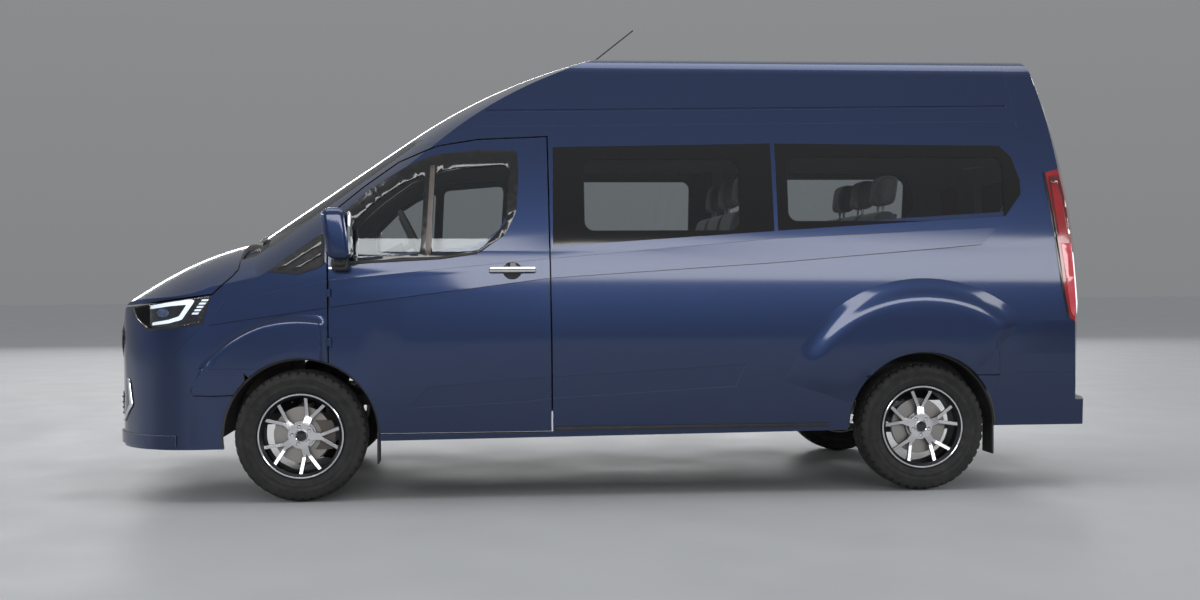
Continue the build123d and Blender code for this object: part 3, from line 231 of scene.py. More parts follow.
IRON = Finish("cast_iron", (0.1, 0.1, 0.105), 0.6, 0.5).mottle((0.15, 0.12, 0.1), 14).grain(260, 3e-4)
UNDER = Finish("underbody_coat", (0.022, 0.022, 0.024), 0.7)
UNDER.mottle((0.035, 0.034, 0.033), 6).grain(320, 3e-4)
TRIM = Finish("soft_trim", (0.05, 0.05, 0.054), 0.65).mottle((0.075, 0.073, 0.07), 8).grain(600, 1.5e-4)
SMOKED = Finish("smoked_lamp_bowl", (0.012, 0.013, 0.016), 0.12, Coat_Weight=1.0)
SMOKED.mottle((0.03, 0.032, 0.04), 25).wear(0.06, 0.2, 20)
WHITE_LIGHT = Finish("white_light_guide", (0.9, 0.92, 0.95), 0.2, Emission_Strength=0.8)
WHITE_LIGHT.mottle((0.75, 0.78, 0.82), 40)
WHITE_LIGHT.shader.inputs["Emission Color"].default_value = (0.92, 0.95, 1, 1)
AMBER = Finish("amber_marker", (0.6, 0.2, 0.1), 0.15, Coat_Weight=1.0).mottle((0.75, 0.34, 0.22), 50)
PROJECTOR = Finish("projector_lens", (0.1, 0.16, 0.34), 0.05, Coat_Weight=1.0)
PROJECTOR.mottle((0.3, 0.38, 0.6), 35)
RED_LENS = Finish("red_lens", (0.3, 0.008, 0.012), 0.08, Coat_Weight=1.0)
RED_LENS.mottle((0.42, 0.014, 0.02), 7).grain(160, 6e-5)
RED_DEEP = Finish("deep_red_lens", (0.09, 0.004, 0.006), 0.1, Coat_Weight=1.0)
RED_DEEP.mottle((0.15, 0.006, 0.01), 12)
RED_BRIGHT = Finish("bright_red_lens", (0.62, 0.05, 0.07), 0.1, Coat_Weight=1.0)
RED_BRIGHT.mottle((0.75, 0.12, 0.15), 18)
PLATE_WHITE = Finish("blank_plate", (0.7, 0.7, 0.68), 0.4).mottle((0.62, 0.62, 0.6), 12).grain(250, 3e-5)
MIRROR = Finish("mirror_glass", (0.86, 0.88, 0.9), 0.02, 1.0)
MIRROR.mottle((0.8, 0.83, 0.86), 8).wear(0.01, 0.05, 20)
CLOTH = Finish("seat_cloth", (0.075, 0.072, 0.07), 0.92, Sheen_Weight=0.4)
CLOTH.mottle((0.11, 0.105, 0.1), 60).grain(900, 3.5e-4)
CLEAR_LENS = lens("clear_lamp_lens", (0.93, 0.95, 0.97))

SLOT_FINISH = {
    "body_paint": PAINT, "dark_plastic": BLACK_PLASTIC, "grille_metal": BLACK_GLOSS, "lamp_clear": SMOKED,
    "lamp_red": RED_LENS, "glass": glazing("tinted_glass"), "tyre": RUBBER, "alloy": wheel_metal(),
    "steel": STEEL, "iron": IRON, "trim": TRIM, "seat_cloth": CLOTH, "under": UNDER,
}
# Clear part of each pane: middle across and up, half size across and up, corner
SIDE_CLEAR = [(0.238, 1.594, 0.413, 0.188, 0.05), (1.51, 1.626, 0.592, 0.172, 0.05)]
TAIL_CLEAR = [(0.0, 1.55, 0.6, 0.175, 0.06)]
SCREEN_CLEAR = [(0.0, 1.645, 0.77, 0.245, 0.09)]
NODE_FINISH = {
    "windscreen": glazing("windscreen_glass", SCREEN_CLEAR, 1),
    "tailgate_glass": glazing("tail_glass", TAIL_CLEAR, 1),
}
NODE_FINISH["side_glass_left"] = glazing("side_glass", SIDE_CLEAR)
for pane in ("side_glass_right", "sliding_door_glass"):
    NODE_FINISH[pane] = NODE_FINISH["side_glass_left"]


# CAD nodes keep their shape; a modifier joins their facets and shades them smooth

WELD = 2e-5
GENTLE_ANGLE = 26.0


def soften_group():
    """Geometry nodes that weld facets and smooth the gentle edges."""
    group = bpy.data.node_groups.new("soften", "GeometryNodeTree")
    for way in ("INPUT", "OUTPUT"):
        group.interface.new_socket("Geometry", in_out=way, socket_type="NodeSocketGeometry")
    start = group.nodes.new("NodeGroupInput")
    weld = group.nodes.new("GeometryNodeMergeByDistance")
    weld.inputs["Distance"].default_value = WELD
    angle = group.nodes.new("GeometryNodeInputMeshEdgeAngle")
    gentle = group.nodes.new("FunctionNodeCompare")
    gentle.operation = "LESS_THAN"
    gentle.inputs["B"].default_value = radians(GENTLE_ANGLE)
    edges = group.nodes.new("GeometryNodeSetShadeSmooth")
    edges.domain = "EDGE"
    faces = group.nodes.new("GeometryNodeSetShadeSmooth")
    end = group.nodes.new("NodeGroupOutput")
    group.links.new(start.outputs[0], weld.inputs["Geometry"])
    group.links.new(weld.outputs["Geometry"], edges.inputs["Geometry"])
    group.links.new(angle.outputs["Unsigned Angle"], gentle.inputs["A"])
    group.links.new(gentle.outputs["Result"], edges.inputs["Shade Smooth"])
    group.links.new(edges.outputs["Geometry"], faces.inputs["Geometry"])
    group.links.new(faces.outputs["Geometry"], end.inputs[0])
    return group


SOFTEN = soften_group()
SLOT_OF = {entry["node"]: entry["material_slot"] for entry in frame["record"]["subparts"]}
for name, node in NODES.items():
    node.data.materials.clear()
    node.data.materials.append(NODE_FINISH.get(name, SLOT_FINISH[SLOT_OF[name]]).mat)
    node.modifiers.new("soften", "NODES").node_group = SOFTEN


# Tools for new pieces

def piece(name, mesh, body, *finishes, slot, sharp=35.0):
    """Finished object from a bmesh, riding on a body."""
    bmesh.ops.recalc_face_normals(mesh, faces=mesh.faces[:])
    data = bpy.data.meshes.new(name)
    mesh.to_mesh(data)
    mesh.free()
    data.shade_smooth()
    data.set_sharp_from_angle(angle=radians(sharp))
    made = bpy.data.objects.new(name, data)
    bpy.context.scene.collection.objects.link(made)
    for finish in finishes:
        data.materials.append(finish.mat)
    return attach(made, body)


def surface_of(*names):
    """Ray target made of some CAD nodes."""
    verts, faces = [], []
    for name in names:
        mesh = NODES[name].data
        start = len(verts)
        verts += [vert.co.copy() for vert in mesh.vertices]
        faces += [[start + i for i in face.vertices] for face in mesh.polygons]
    return BVHTree.FromPolygons(verts, faces)


def rounded(points, radius, steps=4):
    """Outline with every corner cut by a curve."""
    curve = []
    for i, here in enumerate(points):
        here = Vector(here)
        before, after = Vector(points[i - 1]) - here, Vector(points[(i + 1) % len(points)]) - here
        start = here + before.normalized() * min(radius, before.length * 0.45)
        end = here + after.normalized() * min(radius, after.length * 0.45)
        for k in range(steps + 1):
            t = k / steps
            curve.append(tuple(start * (1 - t) ** 2 + here * 2 * t * (1 - t) + end * t * t))
    return curve


def bevelled(mesh, edges, width, segments):
    """Round some edges; the width is in millimetres."""
    bmesh.ops.bevel(mesh, geom=edges, offset=width * MM, offset_type="OFFSET", segments=segments, profile=0.5,
                    affect="EDGES", clamp_overlap=True, material=-1)
    return mesh


# How far aside a ray looks, so that a moulding bridges a seam, and how far off it starts
SEAM_REACH = 0.006
RAY_START = 4.0
# Edges of a moulding that turn by more than this are rounded; points nearer than this are one
SHARP_ANGLE = 50.0
NEAR = 1e-5


def draped(outline, target, out, lift=0.5, thick=3.0, holes=(), step=45.0, edge=0.8):
    """Thin moulding whose outline (millimetres) is laid on CAD panels and follows their curve."""
    out = Vector(out)
    flat = (lambda u, v: (u * MM, 0, v * MM)) if out.y else (lambda u, v: (0, u * MM, v * MM))
    mesh = bmesh.new()
    for loop in (outline, *holes):
        ring = [mesh.verts.new(flat(u, v)) for u, v in loop]
        for a, b in zip(ring, ring[1:] + ring[:1]):
            mesh.edges.new((a, b))
    bmesh.ops.triangle_fill(mesh, use_beauty=True, use_dissolve=False, edges=mesh.edges[:])
    aside, up = Vector((1, 0, 0)) if out.y else Vector((0, 1, 0)), Vector((0, 0, 1))
    for axis in (aside, up):
        along = [vert.co.dot(axis) for vert in mesh.verts]
        cut = min(along) + step * MM
        while cut < max(along):
            bmesh.ops.bisect_plane(mesh, geom=mesh.verts[:] + mesh.edges[:] + mesh.faces[:], dist=NEAR,
                                   plane_co=axis * cut, plane_no=axis)
            cut += step * MM
    for vert in mesh.verts:
        hits = []
        for shift in (Vector(), aside, -aside, up, -up):
            hit = target.ray_cast(vert.co + shift * SEAM_REACH + out * RAY_START, -out)[0]
            if hit:
                hits.append(hit.dot(out))
        height = max(hits) if hits else target.find_nearest(vert.co + out)[0].dot(out)
        vert.co += out * (height + lift * MM)
    grown = bmesh.ops.extrude_face_region(mesh, geom=mesh.faces[:])
    moved = [part for part in grown["geom"] if isinstance(part, bmesh.types.BMVert)]
    bmesh.ops.translate(mesh, verts=moved, vec=out * thick * MM)
    bmesh.ops.recalc_face_normals(mesh, faces=mesh.faces[:])
    sharp = [e for e in mesh.edges if len(e.link_faces) == 2 and e.calc_face_angle(0) > radians(SHARP_ANGLE)]
    return bevelled(mesh, sharp, edge, 2)


def bar(low, high, edge, segments=3):
    """Box between two corners in millimetres, with rounded edges."""
    mesh = bmesh.new()
    bmesh.ops.create_cube(mesh, size=1)
    size = Vector(high) - Vector(low)
    bmesh.ops.scale(mesh, vec=size * MM, verts=mesh.verts[:])
    bmesh.ops.translate(mesh, vec=(Vector(high) + Vector(low)) / 2 * MM, verts=mesh.verts[:])
    return bevelled(mesh, mesh.edges[:], edge, segments)


def on_side(low, high, side):
    """Corners of a box, given for positive y, on either side of the van."""
    near, far = sorted((side * low[1], side * high[1]))
    return (low[0], near, low[2]), (high[0], far, high[2])


def oval(middle, half, steps=28):
    """Outline of an ellipse."""
    return [(middle[0] + half[0] * cos(tau * k / steps), middle[1] + half[1] * sin(tau * k / steps))
            for k in range(steps)]


def across(points, side):
    """Outline in y and z, turned over for the other side."""
    return [(y * side, z) for y, z in points]


def joined(*meshes):
    """Several bmeshes in one."""
    whole = bmesh.new()
    for mesh in meshes:
        data = bpy.data.meshes.new("part")
        mesh.to_mesh(data)
        mesh.free()
        whole.from_mesh(data)
        bpy.data.meshes.remove(data)
    return whole


# Wheels: tyres with ribs and tread, centre caps and nuts

AXLES = {"front": -1660.5, "rear": 1639.5}
TRACK_HALF = 868.0
TYRE_RADIUS = 343.0
# Half section of the tyre: across from its middle, radius
TYRE_HALF = [
    (17, 341), (19, 333), (27, 333), (29, 341), (52, 340), (54, 332), (62, 332), (64, 339.5), (86, 337),
    (97, 331), (103, 320), (106, 306), (107, 296), (105.5, 294), (107, 291), (105.5, 288), (106.6, 284),
    (105, 281), (104.6, 262), (105.6, 259), (104.2, 256), (101, 244), (99, 243), (96, 234), (91, 226),
    (85, 222), (83, 213), (79, 206.6),
]
TREAD_STEPS = 132
LUG_STEP = 3
# Cuts between shoulder lugs: least radius, span across, border and depth
LUG_RADIUS = 322.0
LUG_SPAN = (64.0, 103.0)
LUG_BORDER, LUG_DEPTH = 0.0012, 0.006


def spun(points, centre, steps):
    """Surface turned about the wheel's axis from points across and out from the centre."""
    mesh = bmesh.new()
    ring = [mesh.verts.new(centre + Vector((0, a, r)) * MM) for a, r in points]
    edges = [mesh.edges.new(pair) for pair in zip(ring, ring[1:])]
    bmesh.ops.spin(mesh, geom=ring + edges, cent=centre, axis=(0, 1, 0), dvec=(0, 0, 0), angle=tau,
                   steps=steps, use_merge=True)
    return mesh


def tyre(name, axle, side):
    """Tyre spun from its section, with ribs and cut shoulders."""
    section = [(-a, r) for a, r in reversed(TYRE_HALF)] + TYRE_HALF
    centre = Vector((axle, side * TRACK_HALF, TYRE_RADIUS)) * MM
    mesh = spun(section, centre, TREAD_STEPS)
    bmesh.ops.recalc_face_normals(mesh, faces=mesh.faces[:])
    cuts = []
    for face in mesh.faces:
        away = face.calc_center_median() - centre
        step = int((atan2(away.z, away.x) / tau + 0.5) * TREAD_STEPS)
        radius = Vector((away.x, away.z)).length / MM
        shoulder = radius > LUG_RADIUS and LUG_SPAN[0] < abs(away.y) / MM < LUG_SPAN[1]
        if shoulder and (step + (away.y > 0)) % LUG_STEP == 0:
            cuts.append(face)
    bmesh.ops.inset_region(mesh, faces=cuts, thickness=LUG_BORDER, depth=-LUG_DEPTH, use_even_offset=True)
    made = piece(name, mesh, f"wheel_{name.split('_', 1)[1]}", RUBBER, slot="tyre", sharp=38)
    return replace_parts(made, name)


NUTS = 5
NUT_CIRCLE = 47.0
# First nut, midway between two spokes; the front wheels are turned a little
NUT_START = {"front": 90 + 36 - 22, "rear": 90 + 36}
VALVE_CIRCLE = 182.0
HUB_FACE = 66.0
# Turned profiles: out from the hub's face, radius
CAP_PROFILE = [(-4, 30), (7, 29), (10, 26), (11, 14), (11.4, 0)]
CAP_RING_PROFILE = [(2, 33), (8, 32.4), (10.5, 30), (9.5, 27.4), (4, 27), (2, 33)]
NUT_PROFILE = [(-20, 10.5), (-4, 10.5), (-1.5, 9), (-0.5, 0)]
# Turned profiles: out from the wheel's middle, radius
RIM_RING_PROFILE = [(93.5, 215), (96.6, 215.4), (97.4, 217.6), (96.6, 220), (93.5, 220.6), (93.5, 215)]
VALVE_PROFILE = [(60, 5), (88, 4.4), (90, 3.6), (91, 0)]


def turned(points, centre, side, steps=40):
    """Turned piece on the wheel's axis from (out, radius) points; out grows away from the van."""
    mesh = spun([(side * out, radius) for out, radius in points], centre, steps)
    bmesh.ops.remove_doubles(mesh, verts=mesh.verts[:], dist=NEAR)
    return mesh


def off_hub(profile):
    """Profile measured from the wheel's middle."""
    return [(HUB_FACE + out, radius) for out, radius in profile]


def on_circle(centre, radius, turn):
    """Point around the wheel's axis."""
    return centre + Vector((radius * cos(turn), 0, radius * sin(turn))) * MM


def wheel_trim(place, axle, side, start):
    """Centre cap and its ring, bright ring on the rim, nuts and valve."""
    centre = Vector((axle, side * TRACK_HALF, TYRE_RADIUS)) * MM
    body = f"wheel_{place}"
    cap = turned(off_hub(CAP_PROFILE), centre, side)
    piece(f"centre_cap_{place}", cap, body, BLACK_GLOSS, slot="alloy")
    ring = turned(off_hub(CAP_RING_PROFILE), centre, side)
    piece(f"cap_ring_{place}", ring, body, CHROME, slot="alloy")
    lip = turned(RIM_RING_PROFILE, centre, side, 96)
    piece(f"rim_ring_{place}", lip, body, CHROME, slot="alloy")
    spots = [on_circle(centre, NUT_CIRCLE, radians(start + 360 / NUTS * k)) for k in range(NUTS)]
    nuts = [turned(off_hub(NUT_PROFILE), spot, side, 6) for spot in spots]
    piece(f"wheel_nuts_{place}", joined(*nuts), body, CHROME, slot="alloy", sharp=25)
    valve = turned(VALVE_PROFILE, on_circle(centre, VALVE_CIRCLE, radians(start)), side, 12)
    piece(f"valve_{place}", valve, body, BLACK_PLASTIC, slot="tyre")


for end, axle in AXLES.items():
    for hand, side in SIDES.items():
        tyre(f"tyre_{end}_{hand}", axle, side)
        wheel_trim(f"{end}_{hand}", axle, side, NUT_START[end])


# Door windows, handles, mirrors and the black covers ahead of the doors

# Outlines on the door and ahead of it: along and up
DOOR_FRAME = [(-1452, 1492), (-1290, 1636), (-1104, 1748), (-966, 1809), (-740, 1834), (-529, 1832),
              (-523, 1700), (-536, 1506), (-594, 1386), (-735, 1288), (-938, 1263), (-1452, 1228)]
MAIN_PANE = [(-957, 1725), (-585, 1756), (-572, 1722), (-590, 1446), (-730, 1302), (-981, 1290)]
QUARTER_PANE = [(-1012, 1708), (-1038, 1288), (-1376, 1266), (-1392, 1440), (-1252, 1578), (-1130, 1655)]
DIVIDER = [(-984, 1752), (-958, 1754), (-984, 1284), (-1012, 1284)]
SAIL = [(-1826, 1196), (-1700, 1292), (-1546, 1392), (-1530, 1392), (-1530, 1236), (-1560, 1214),
        (-1664, 1182)]
SAIL_RIBS = [[(-1772, 1210), (-1545, 1356), (-1545, 1340), (-1752, 1206)],
             [(-1700, 1206), (-1545, 1296), (-1545, 1280), (-1678, 1202)]]
HANDLE = ((-680, 1010, 1187), (-437, 1027, 1216))
CUP = ((-560, 1196), (50, 46))
BELT = [(-1450, 1246), (-938, 1272), (-742, 1297), (-742, 1285), (-938, 1258), (-1450, 1232)]

for hand, side in SIDES.items():
    body = f"door_{hand}"
    out = (0, side, 0)
    skin = surface_of(body, f"door_glass_{hand}")
    holes = [rounded(MAIN_PANE, 34), rounded(QUARTER_PANE, 26)]
    frame_mesh = draped(rounded(DOOR_FRAME, 20), skin, out, 1.0, 3.0, holes, edge=1.2)
    piece(f"window_frame_{hand}", frame_mesh, body, BLACK_GLOSS, slot="dark_plastic")
    divider = draped(DIVIDER, skin, out, 3.5, 4.0, edge=1.5)
    piece(f"quarter_divider_{hand}", divider, body, SATIN, slot="dark_plastic")
    belt = draped(BELT, skin, out, 3.0, 5.0, edge=1.5)
    piece(f"belt_seal_{hand}", belt, body, BLACK_PLASTIC, slot="dark_plastic")
    cup = draped(oval(*CUP), surface_of(body), out, 0.4, 1.2, edge=0.4, step=30)
    piece(f"handle_cup_{hand}", cup, body, BLACK_GLOSS, slot="dark_plastic")
    handle = bar(*on_side(*HANDLE, side), 7, 4)
    piece(f"handle_{hand}", handle, body, CHROME, slot="grille_metal")
    flank = surface_of(f"side_{hand}", "wings")
    cover = draped(rounded(SAIL, 10), flank, out, 1.0, 5.0, edge=2.0)
    piece(f"sail_cover_{hand}", cover, "body", BLACK_PLASTIC, slot="dark_plastic")
    for k, outline in enumerate(SAIL_RIBS):
        rib = draped(outline, flank, out, 6.0, 4.0, edge=1.5)
        piece(f"sail_rib_{hand}_{k + 1}", rib, "body", BLACK_GLOSS, slot="dark_plastic")

# Boxes of the mirror on the side of positive y: low and high corner
MIRROR_BODY = ((-1508, 1034, 1256), (-1388, 1196, 1518))
MIRROR_FOOT = ((-1490, 948, 1200), (-1402, 1068, 1262))
MIRROR_ARM = ((-1478, 1028, 1222), (-1412, 1100, 1300))
MIRROR_PANE = ((-1392, 1050, 1280), (-1377, 1182, 1498))
MIRROR_LAMP = ((-1500, 1040, 1208), (-1450, 1066, 1220))
# How far the cap's foot is set back and its top leans on, the line its nose starts at, and the nose's bulge
CAP_SET_BACK, CAP_LEAN, CAP_NOSE, CAP_BULGE = 0.018, 0.033, -1.44, 0.02


def mirror_shell(side):
    """Cap drawn in towards its foot and leaning with the wind."""
    mesh = bar(*on_side(*MIRROR_BODY, side), 40, 6)
    top, foot = MIRROR_BODY[1][2] * MM, MIRROR_BODY[0][2] * MM
    for vert in mesh.verts:
        rise = (vert.co.z - foot) / (top - foot)
        vert.co.x += CAP_SET_BACK - CAP_LEAN * rise
        if vert.co.x < CAP_NOSE:
            vert.co.x -= CAP_BULGE * sin(pi * rise)
    return mesh


for hand, side in SIDES.items():
    body = f"door_{hand}"
    shell = piece(f"mirror_cap_{hand}", mirror_shell(side), body, CAP_PAINT, slot="body_paint", sharp=60)
    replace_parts(shell, f"mirror_{hand}")
    boxes = [bar(*on_side(*box, side), 14, 4) for box in (MIRROR_FOOT, MIRROR_ARM)]
    piece(f"mirror_foot_{hand}", joined(*boxes), body, BLACK_PLASTIC, slot="dark_plastic")
    glass = bar(*on_side(*MIRROR_PANE, side), 6, 3)
    piece(f"mirror_glass_{hand}", glass, body, MIRROR, slot="glass")
    repeater = bar(*on_side(*MIRROR_LAMP, side), 5, 3)
    piece(f"mirror_lamp_{hand}", repeater, body, WHITE_LIGHT, slot="lamp_clear")


# Headlamps: smoked bowl, light guide, marker, projector and slanted bars behind a clear lens

LAMP_LENS = [(-2540, 1012), (-2516, 958), (-2450, 906), (-2224, 927), (-2168, 940), (-2122, 1068),
             (-2118, 1078)]
GUIDE = [(-2458, 1020), (-2330, 1042), (-2214, 1058), (-2196, 1052), (-2200, 1040), (-2262, 952),
         (-2330, 934), (-2424, 922), (-2420, 938), (-2332, 952), (-2276, 970), (-2236, 1030),
         (-2328, 1022), (-2452, 1004)]
BAR_SHAPE = [(0, 0), (32, 0), (40, 10), (8, 10)]
BAR_SPOTS = [(-2212 + 12 * k, 979 + 17 * k) for k in range(5)]
MARKER = [(-2505, 1006), (-2440, 1010), (-2430, 968), (-2470, 952), (-2496, 970)]
PROJECTOR_AT, PROJECTOR_HALF = (-2362, 988), (34, 22)
# Lamp piece: name, outline, finish, lift, thickness
LAMP_PIECES = [("light_guide", rounded(GUIDE, 8), WHITE_LIGHT, 0.6, 3.0),
               ("marker", rounded(MARKER, 8), AMBER, 0.4, 1.6)]
LAMP_PIECES += [(f"lamp_bar_{k + 1}", [(x + along, z + up) for along, up in BAR_SHAPE], WHITE_LIGHT, 0.4, 1.6)
                for k, (x, z) in enumerate(BAR_SPOTS)]
LAMP_PIECES += [("projector", oval(PROJECTOR_AT, PROJECTOR_HALF), PROJECTOR, 0.4, 2.4)]

bowl = surface_of("headlamps", "wings", "front_bumper", "bonnet")
for hand, side in SIDES.items():
    out = (0, side, 0)
    for name, outline, finish, lift, thick in LAMP_PIECES:
        inset = draped(outline, bowl, out, lift, thick, step=25, edge=0.5)
        piece(f"{name}_{hand}", inset, "body", finish, slot="lamp_clear")
    cover = draped(rounded(LAMP_LENS, 12), bowl, out, 4.0, 1.5, step=25, edge=0.5)
    piece(f"lamp_lens_{hand}", cover, "body", CLEAR_LENS, slot="lamp_clear")


# Nose: grille studs in chrome, satin surround, bumper trim, lower mesh, plate

SQUARE_FACING, STUDS_AHEAD_OF = 0.99999, -2.5


def studded_grille():
    """The grille with its studs, which alone have square faces, in chrome."""
    mesh = bmesh.new()
    mesh.from_mesh(NODES["grille"].data)
    bmesh.ops.remove_doubles(mesh, verts=mesh.verts[:], dist=WELD)
    for face in mesh.faces:
        square = max(abs(c) for c in face.normal) > SQUARE_FACING
        face.material_index = int(square and face.calc_center_median().x < STUDS_AHEAD_OF)
    made = piece("stud_grille", mesh, "body", BLACK_GLOSS, CHROME, slot="grille_metal", sharp=26)
    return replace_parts(made, "grille")


studded_grille()
FRONT = (-1, 0, 0)
NOSE = surface_of("front_bumper", "grille", "bonnet", "headlamps")
# Outlines on the nose: across and up
SURROUND_OUT = [(452, 664), (640, 850), (590, 1004), (-590, 1004), (-640, 850), (-452, 664)]
SURROUND_IN = [(424, 694), (596, 850), (552, 982), (-552, 982), (-596, 850), (-424, 694)]
MESH_OUT = [(560, 420), (610, 560), (-610, 560), (-560, 420)]
TRIM_L = [(742, 646), (764, 636), (790, 500), (690, 408), (640, 404), (640, 416), (684, 424), (766, 508)]
PLATE_HOLDER = [(270, 476), (270, 604), (-270, 604), (-270, 476)]
PLATE = ((-2694, -260, 485), (-2688, 260, 595))
# Rails of the lower mesh: how many, half length at foot and top, height of the first one's foot, how tall
RAILS, RAIL_HALF, RAIL_FOOT, RAIL_TALL = 4, (566, 568), 438, 10
# From one rail to the next: growth of the half length, rise
RAIL_GROWS, RAIL_PITCH = 10, 30

hole = [rounded(SURROUND_IN, 26)]
surround = draped(rounded(SURROUND_OUT, 30), NOSE, FRONT, 1.0, 6.0, hole, edge=2.0)
piece("grille_surround", surround, "body", SATIN, slot="grille_metal")
lower_mesh = draped(rounded(MESH_OUT, 40), NOSE, FRONT, 0.6, 3.0, edge=1.0)
piece("lower_mesh", lower_mesh, "body", BLACK_PLASTIC, slot="dark_plastic")
for k in range(RAILS):
    low, high = (half + RAIL_GROWS * k for half in RAIL_HALF)
    foot = RAIL_FOOT + RAIL_PITCH * k
    outline = [(low, foot), (high, foot + RAIL_TALL), (-high, foot + RAIL_TALL), (-low, foot)]
    rail = draped(outline, NOSE, FRONT, 3.5, 5.0, edge=1.5)
    piece(f"mesh_rail_{k + 1}", rail, "body", BLACK_GLOSS, slot="dark_plastic")
for hand, side in SIDES.items():
    corner = draped(rounded(across(TRIM_L, side), 10), NOSE, FRONT, 1.0, 5.0, step=30, edge=1.5)
    piece(f"bumper_trim_{hand}", corner, "body", CHROME, slot="grille_metal")
holder = draped(rounded(PLATE_HOLDER, 14), NOSE, FRONT, 4.0, 9.0, step=90, edge=2.0)
piece("plate_holder_front", holder, "body", BLACK_PLASTIC, slot="dark_plastic")
piece("plate_front", bar(*PLATE, 2, 2), "body", PLATE_WHITE, slot="dark_plastic")


# Tail: lamp insets, black lamp edges, reflectors

LAMP_DEEP = [(2362, 1696), (2420, 1706), (2448, 1560), (2470, 1380), (2452, 1376), (2430, 1556),
             (2408, 1660), (2376, 1650), (2402, 1380), (2388, 1376)]
LAMP_BRIGHT = [(2412, 1330), (2468, 1330), (2486, 1000), (2470, 930), (2452, 960), (2432, 1120)]
LAMP_EDGE = [(2330, 1722), (2345, 1714), (2389, 1377), (2415, 1104), (2445, 931), (2436, 921),
             (2401, 1102), (2375, 1376)]
LAMP_WHITE = [(2474, 1280), (2488, 1280), (2502, 1000), (2488, 940), (2482, 1000)]
LAMP_INSETS = [("deep_red", LAMP_DEEP, RED_DEEP), ("bright_red", LAMP_BRIGHT, RED_BRIGHT),
               ("white_strip", LAMP_WHITE, WHITE_LIGHT)]
REFLECTOR = [(560, 520), (760, 520), (760, 548), (560, 548)]
REAR = (1, 0, 0)
TAIL = surface_of("tailgate", "rear_bumper", "tailgate_glass")
for hand, side in SIDES.items():
    out = (0, side, 0)
    lamp = surface_of("tail_lamps", f"side_{hand}")
    for name, outline, finish in LAMP_INSETS:
        inset = draped(rounded(outline, 8), lamp, out, 0.4, 1.6, step=30, edge=0.5)
        piece(f"{name}_{hand}", inset, "body", finish, slot="lamp_red")
    border = draped(LAMP_EDGE, lamp, out, 0.6, 2.0, step=40, edge=0.6)
    piece(f"lamp_edge_{hand}", border, "body", BLACK_GLOSS, slot="dark_plastic")
    reflector = draped(rounded(across(REFLECTOR, side), 8), TAIL, REAR, 0.5, 3, edge=0.8)
    piece(f"reflector_{hand}", reflector, "body", RED_DEEP, slot="lamp_red")


# Seats: stuffed cushions, backs and head rests with sewn channels, on pedestals

VOXEL = 0.011
PAD_WIDTH = 460.0
SEAT_FLOOR = 520.0
# Place: hip line, middle, width, node, row name
PLACES = [(-640, -400, 500, "front_seats", "driver"), (-640, 115, 430, "front_seats", "mate_inner"),
          (-640, 545, 430, "front_seats", "mate_outer")]
PLACES += [(560, -90 + k * 460, 460, "rear_seats", f"second_{k + 2}") for k in (-1, 0, 1)]
PLACES += [(1390, k * 433, 433, "rear_seats", f"third_{k + 2}") for k in (-1, 0, 1)]
# Pad: low corner, high corner, how far back its top leans, edge, sewn lines across it, cap on the swell
PADS = {
    "cushion": ((-520, -222, 325), (30, 222, 462), 0.0, 40, (-120, -40, 40, 120), 16),
    "back": ((-20, -222, 440), (95, 222, 1000), 118.0, 38, (-120, -40, 40, 120), 16),
    "head_rest": ((128, -118, 1040), (232, 118, 1206), 24.0, 34, (), 10),
}
# Half width of a sewn line; filling pressure, cloth stiffness and steps of the swell
SEWN_HALF = 7.0
PRESSURE, STIFFNESS, LAST_STEP = 4.0, 12.0, 20
# Hard parts of a seat, from its hip line and the floor: along, up
SIDE_INSET = 40.0
BASE_X, BASE_Z = (-440, 20), (0, 330)
SHELL_X, SHELL_Z = (85, 108), (420, 985)
SHELL_LEAN, LEAN_FROM, LEAN_OVER = 0.118, 440.0, 560.0
POST_X, POST_Z, POST_Y, POST_HALF = (168, 182), (940, 1080), 50, 7


def stuffed(kind):
    """Cover of one pad, blown up by its filling while the sewn lines stay put."""
    low, high, lean, edge, lines, cap = PADS[kind]
    mesh = bar(low, high, edge, 3)
    for vert in mesh.verts:
        vert.co.x += lean * MM * (vert.co.z / MM - low[2]) / (high[2] - low[2])
    data = bpy.data.meshes.new(kind)
    mesh.to_mesh(data)
    mesh.free()
    cover = bpy.data.objects.new(kind, data)
    bpy.context.scene.collection.objects.link(cover)
    grid = cover.modifiers.new("grid", "REMESH")
    grid.mode, grid.voxel_size = "VOXEL", VOXEL
    rest = bpy.data.meshes.new_from_object(cover.evaluated_get(bpy.context.evaluated_depsgraph_get()))
    cover.modifiers.clear()
    cover.data = rest
    swell(cover, lines, cap * MM)
    done = cover.data
    bpy.data.objects.remove(cover)
    return done


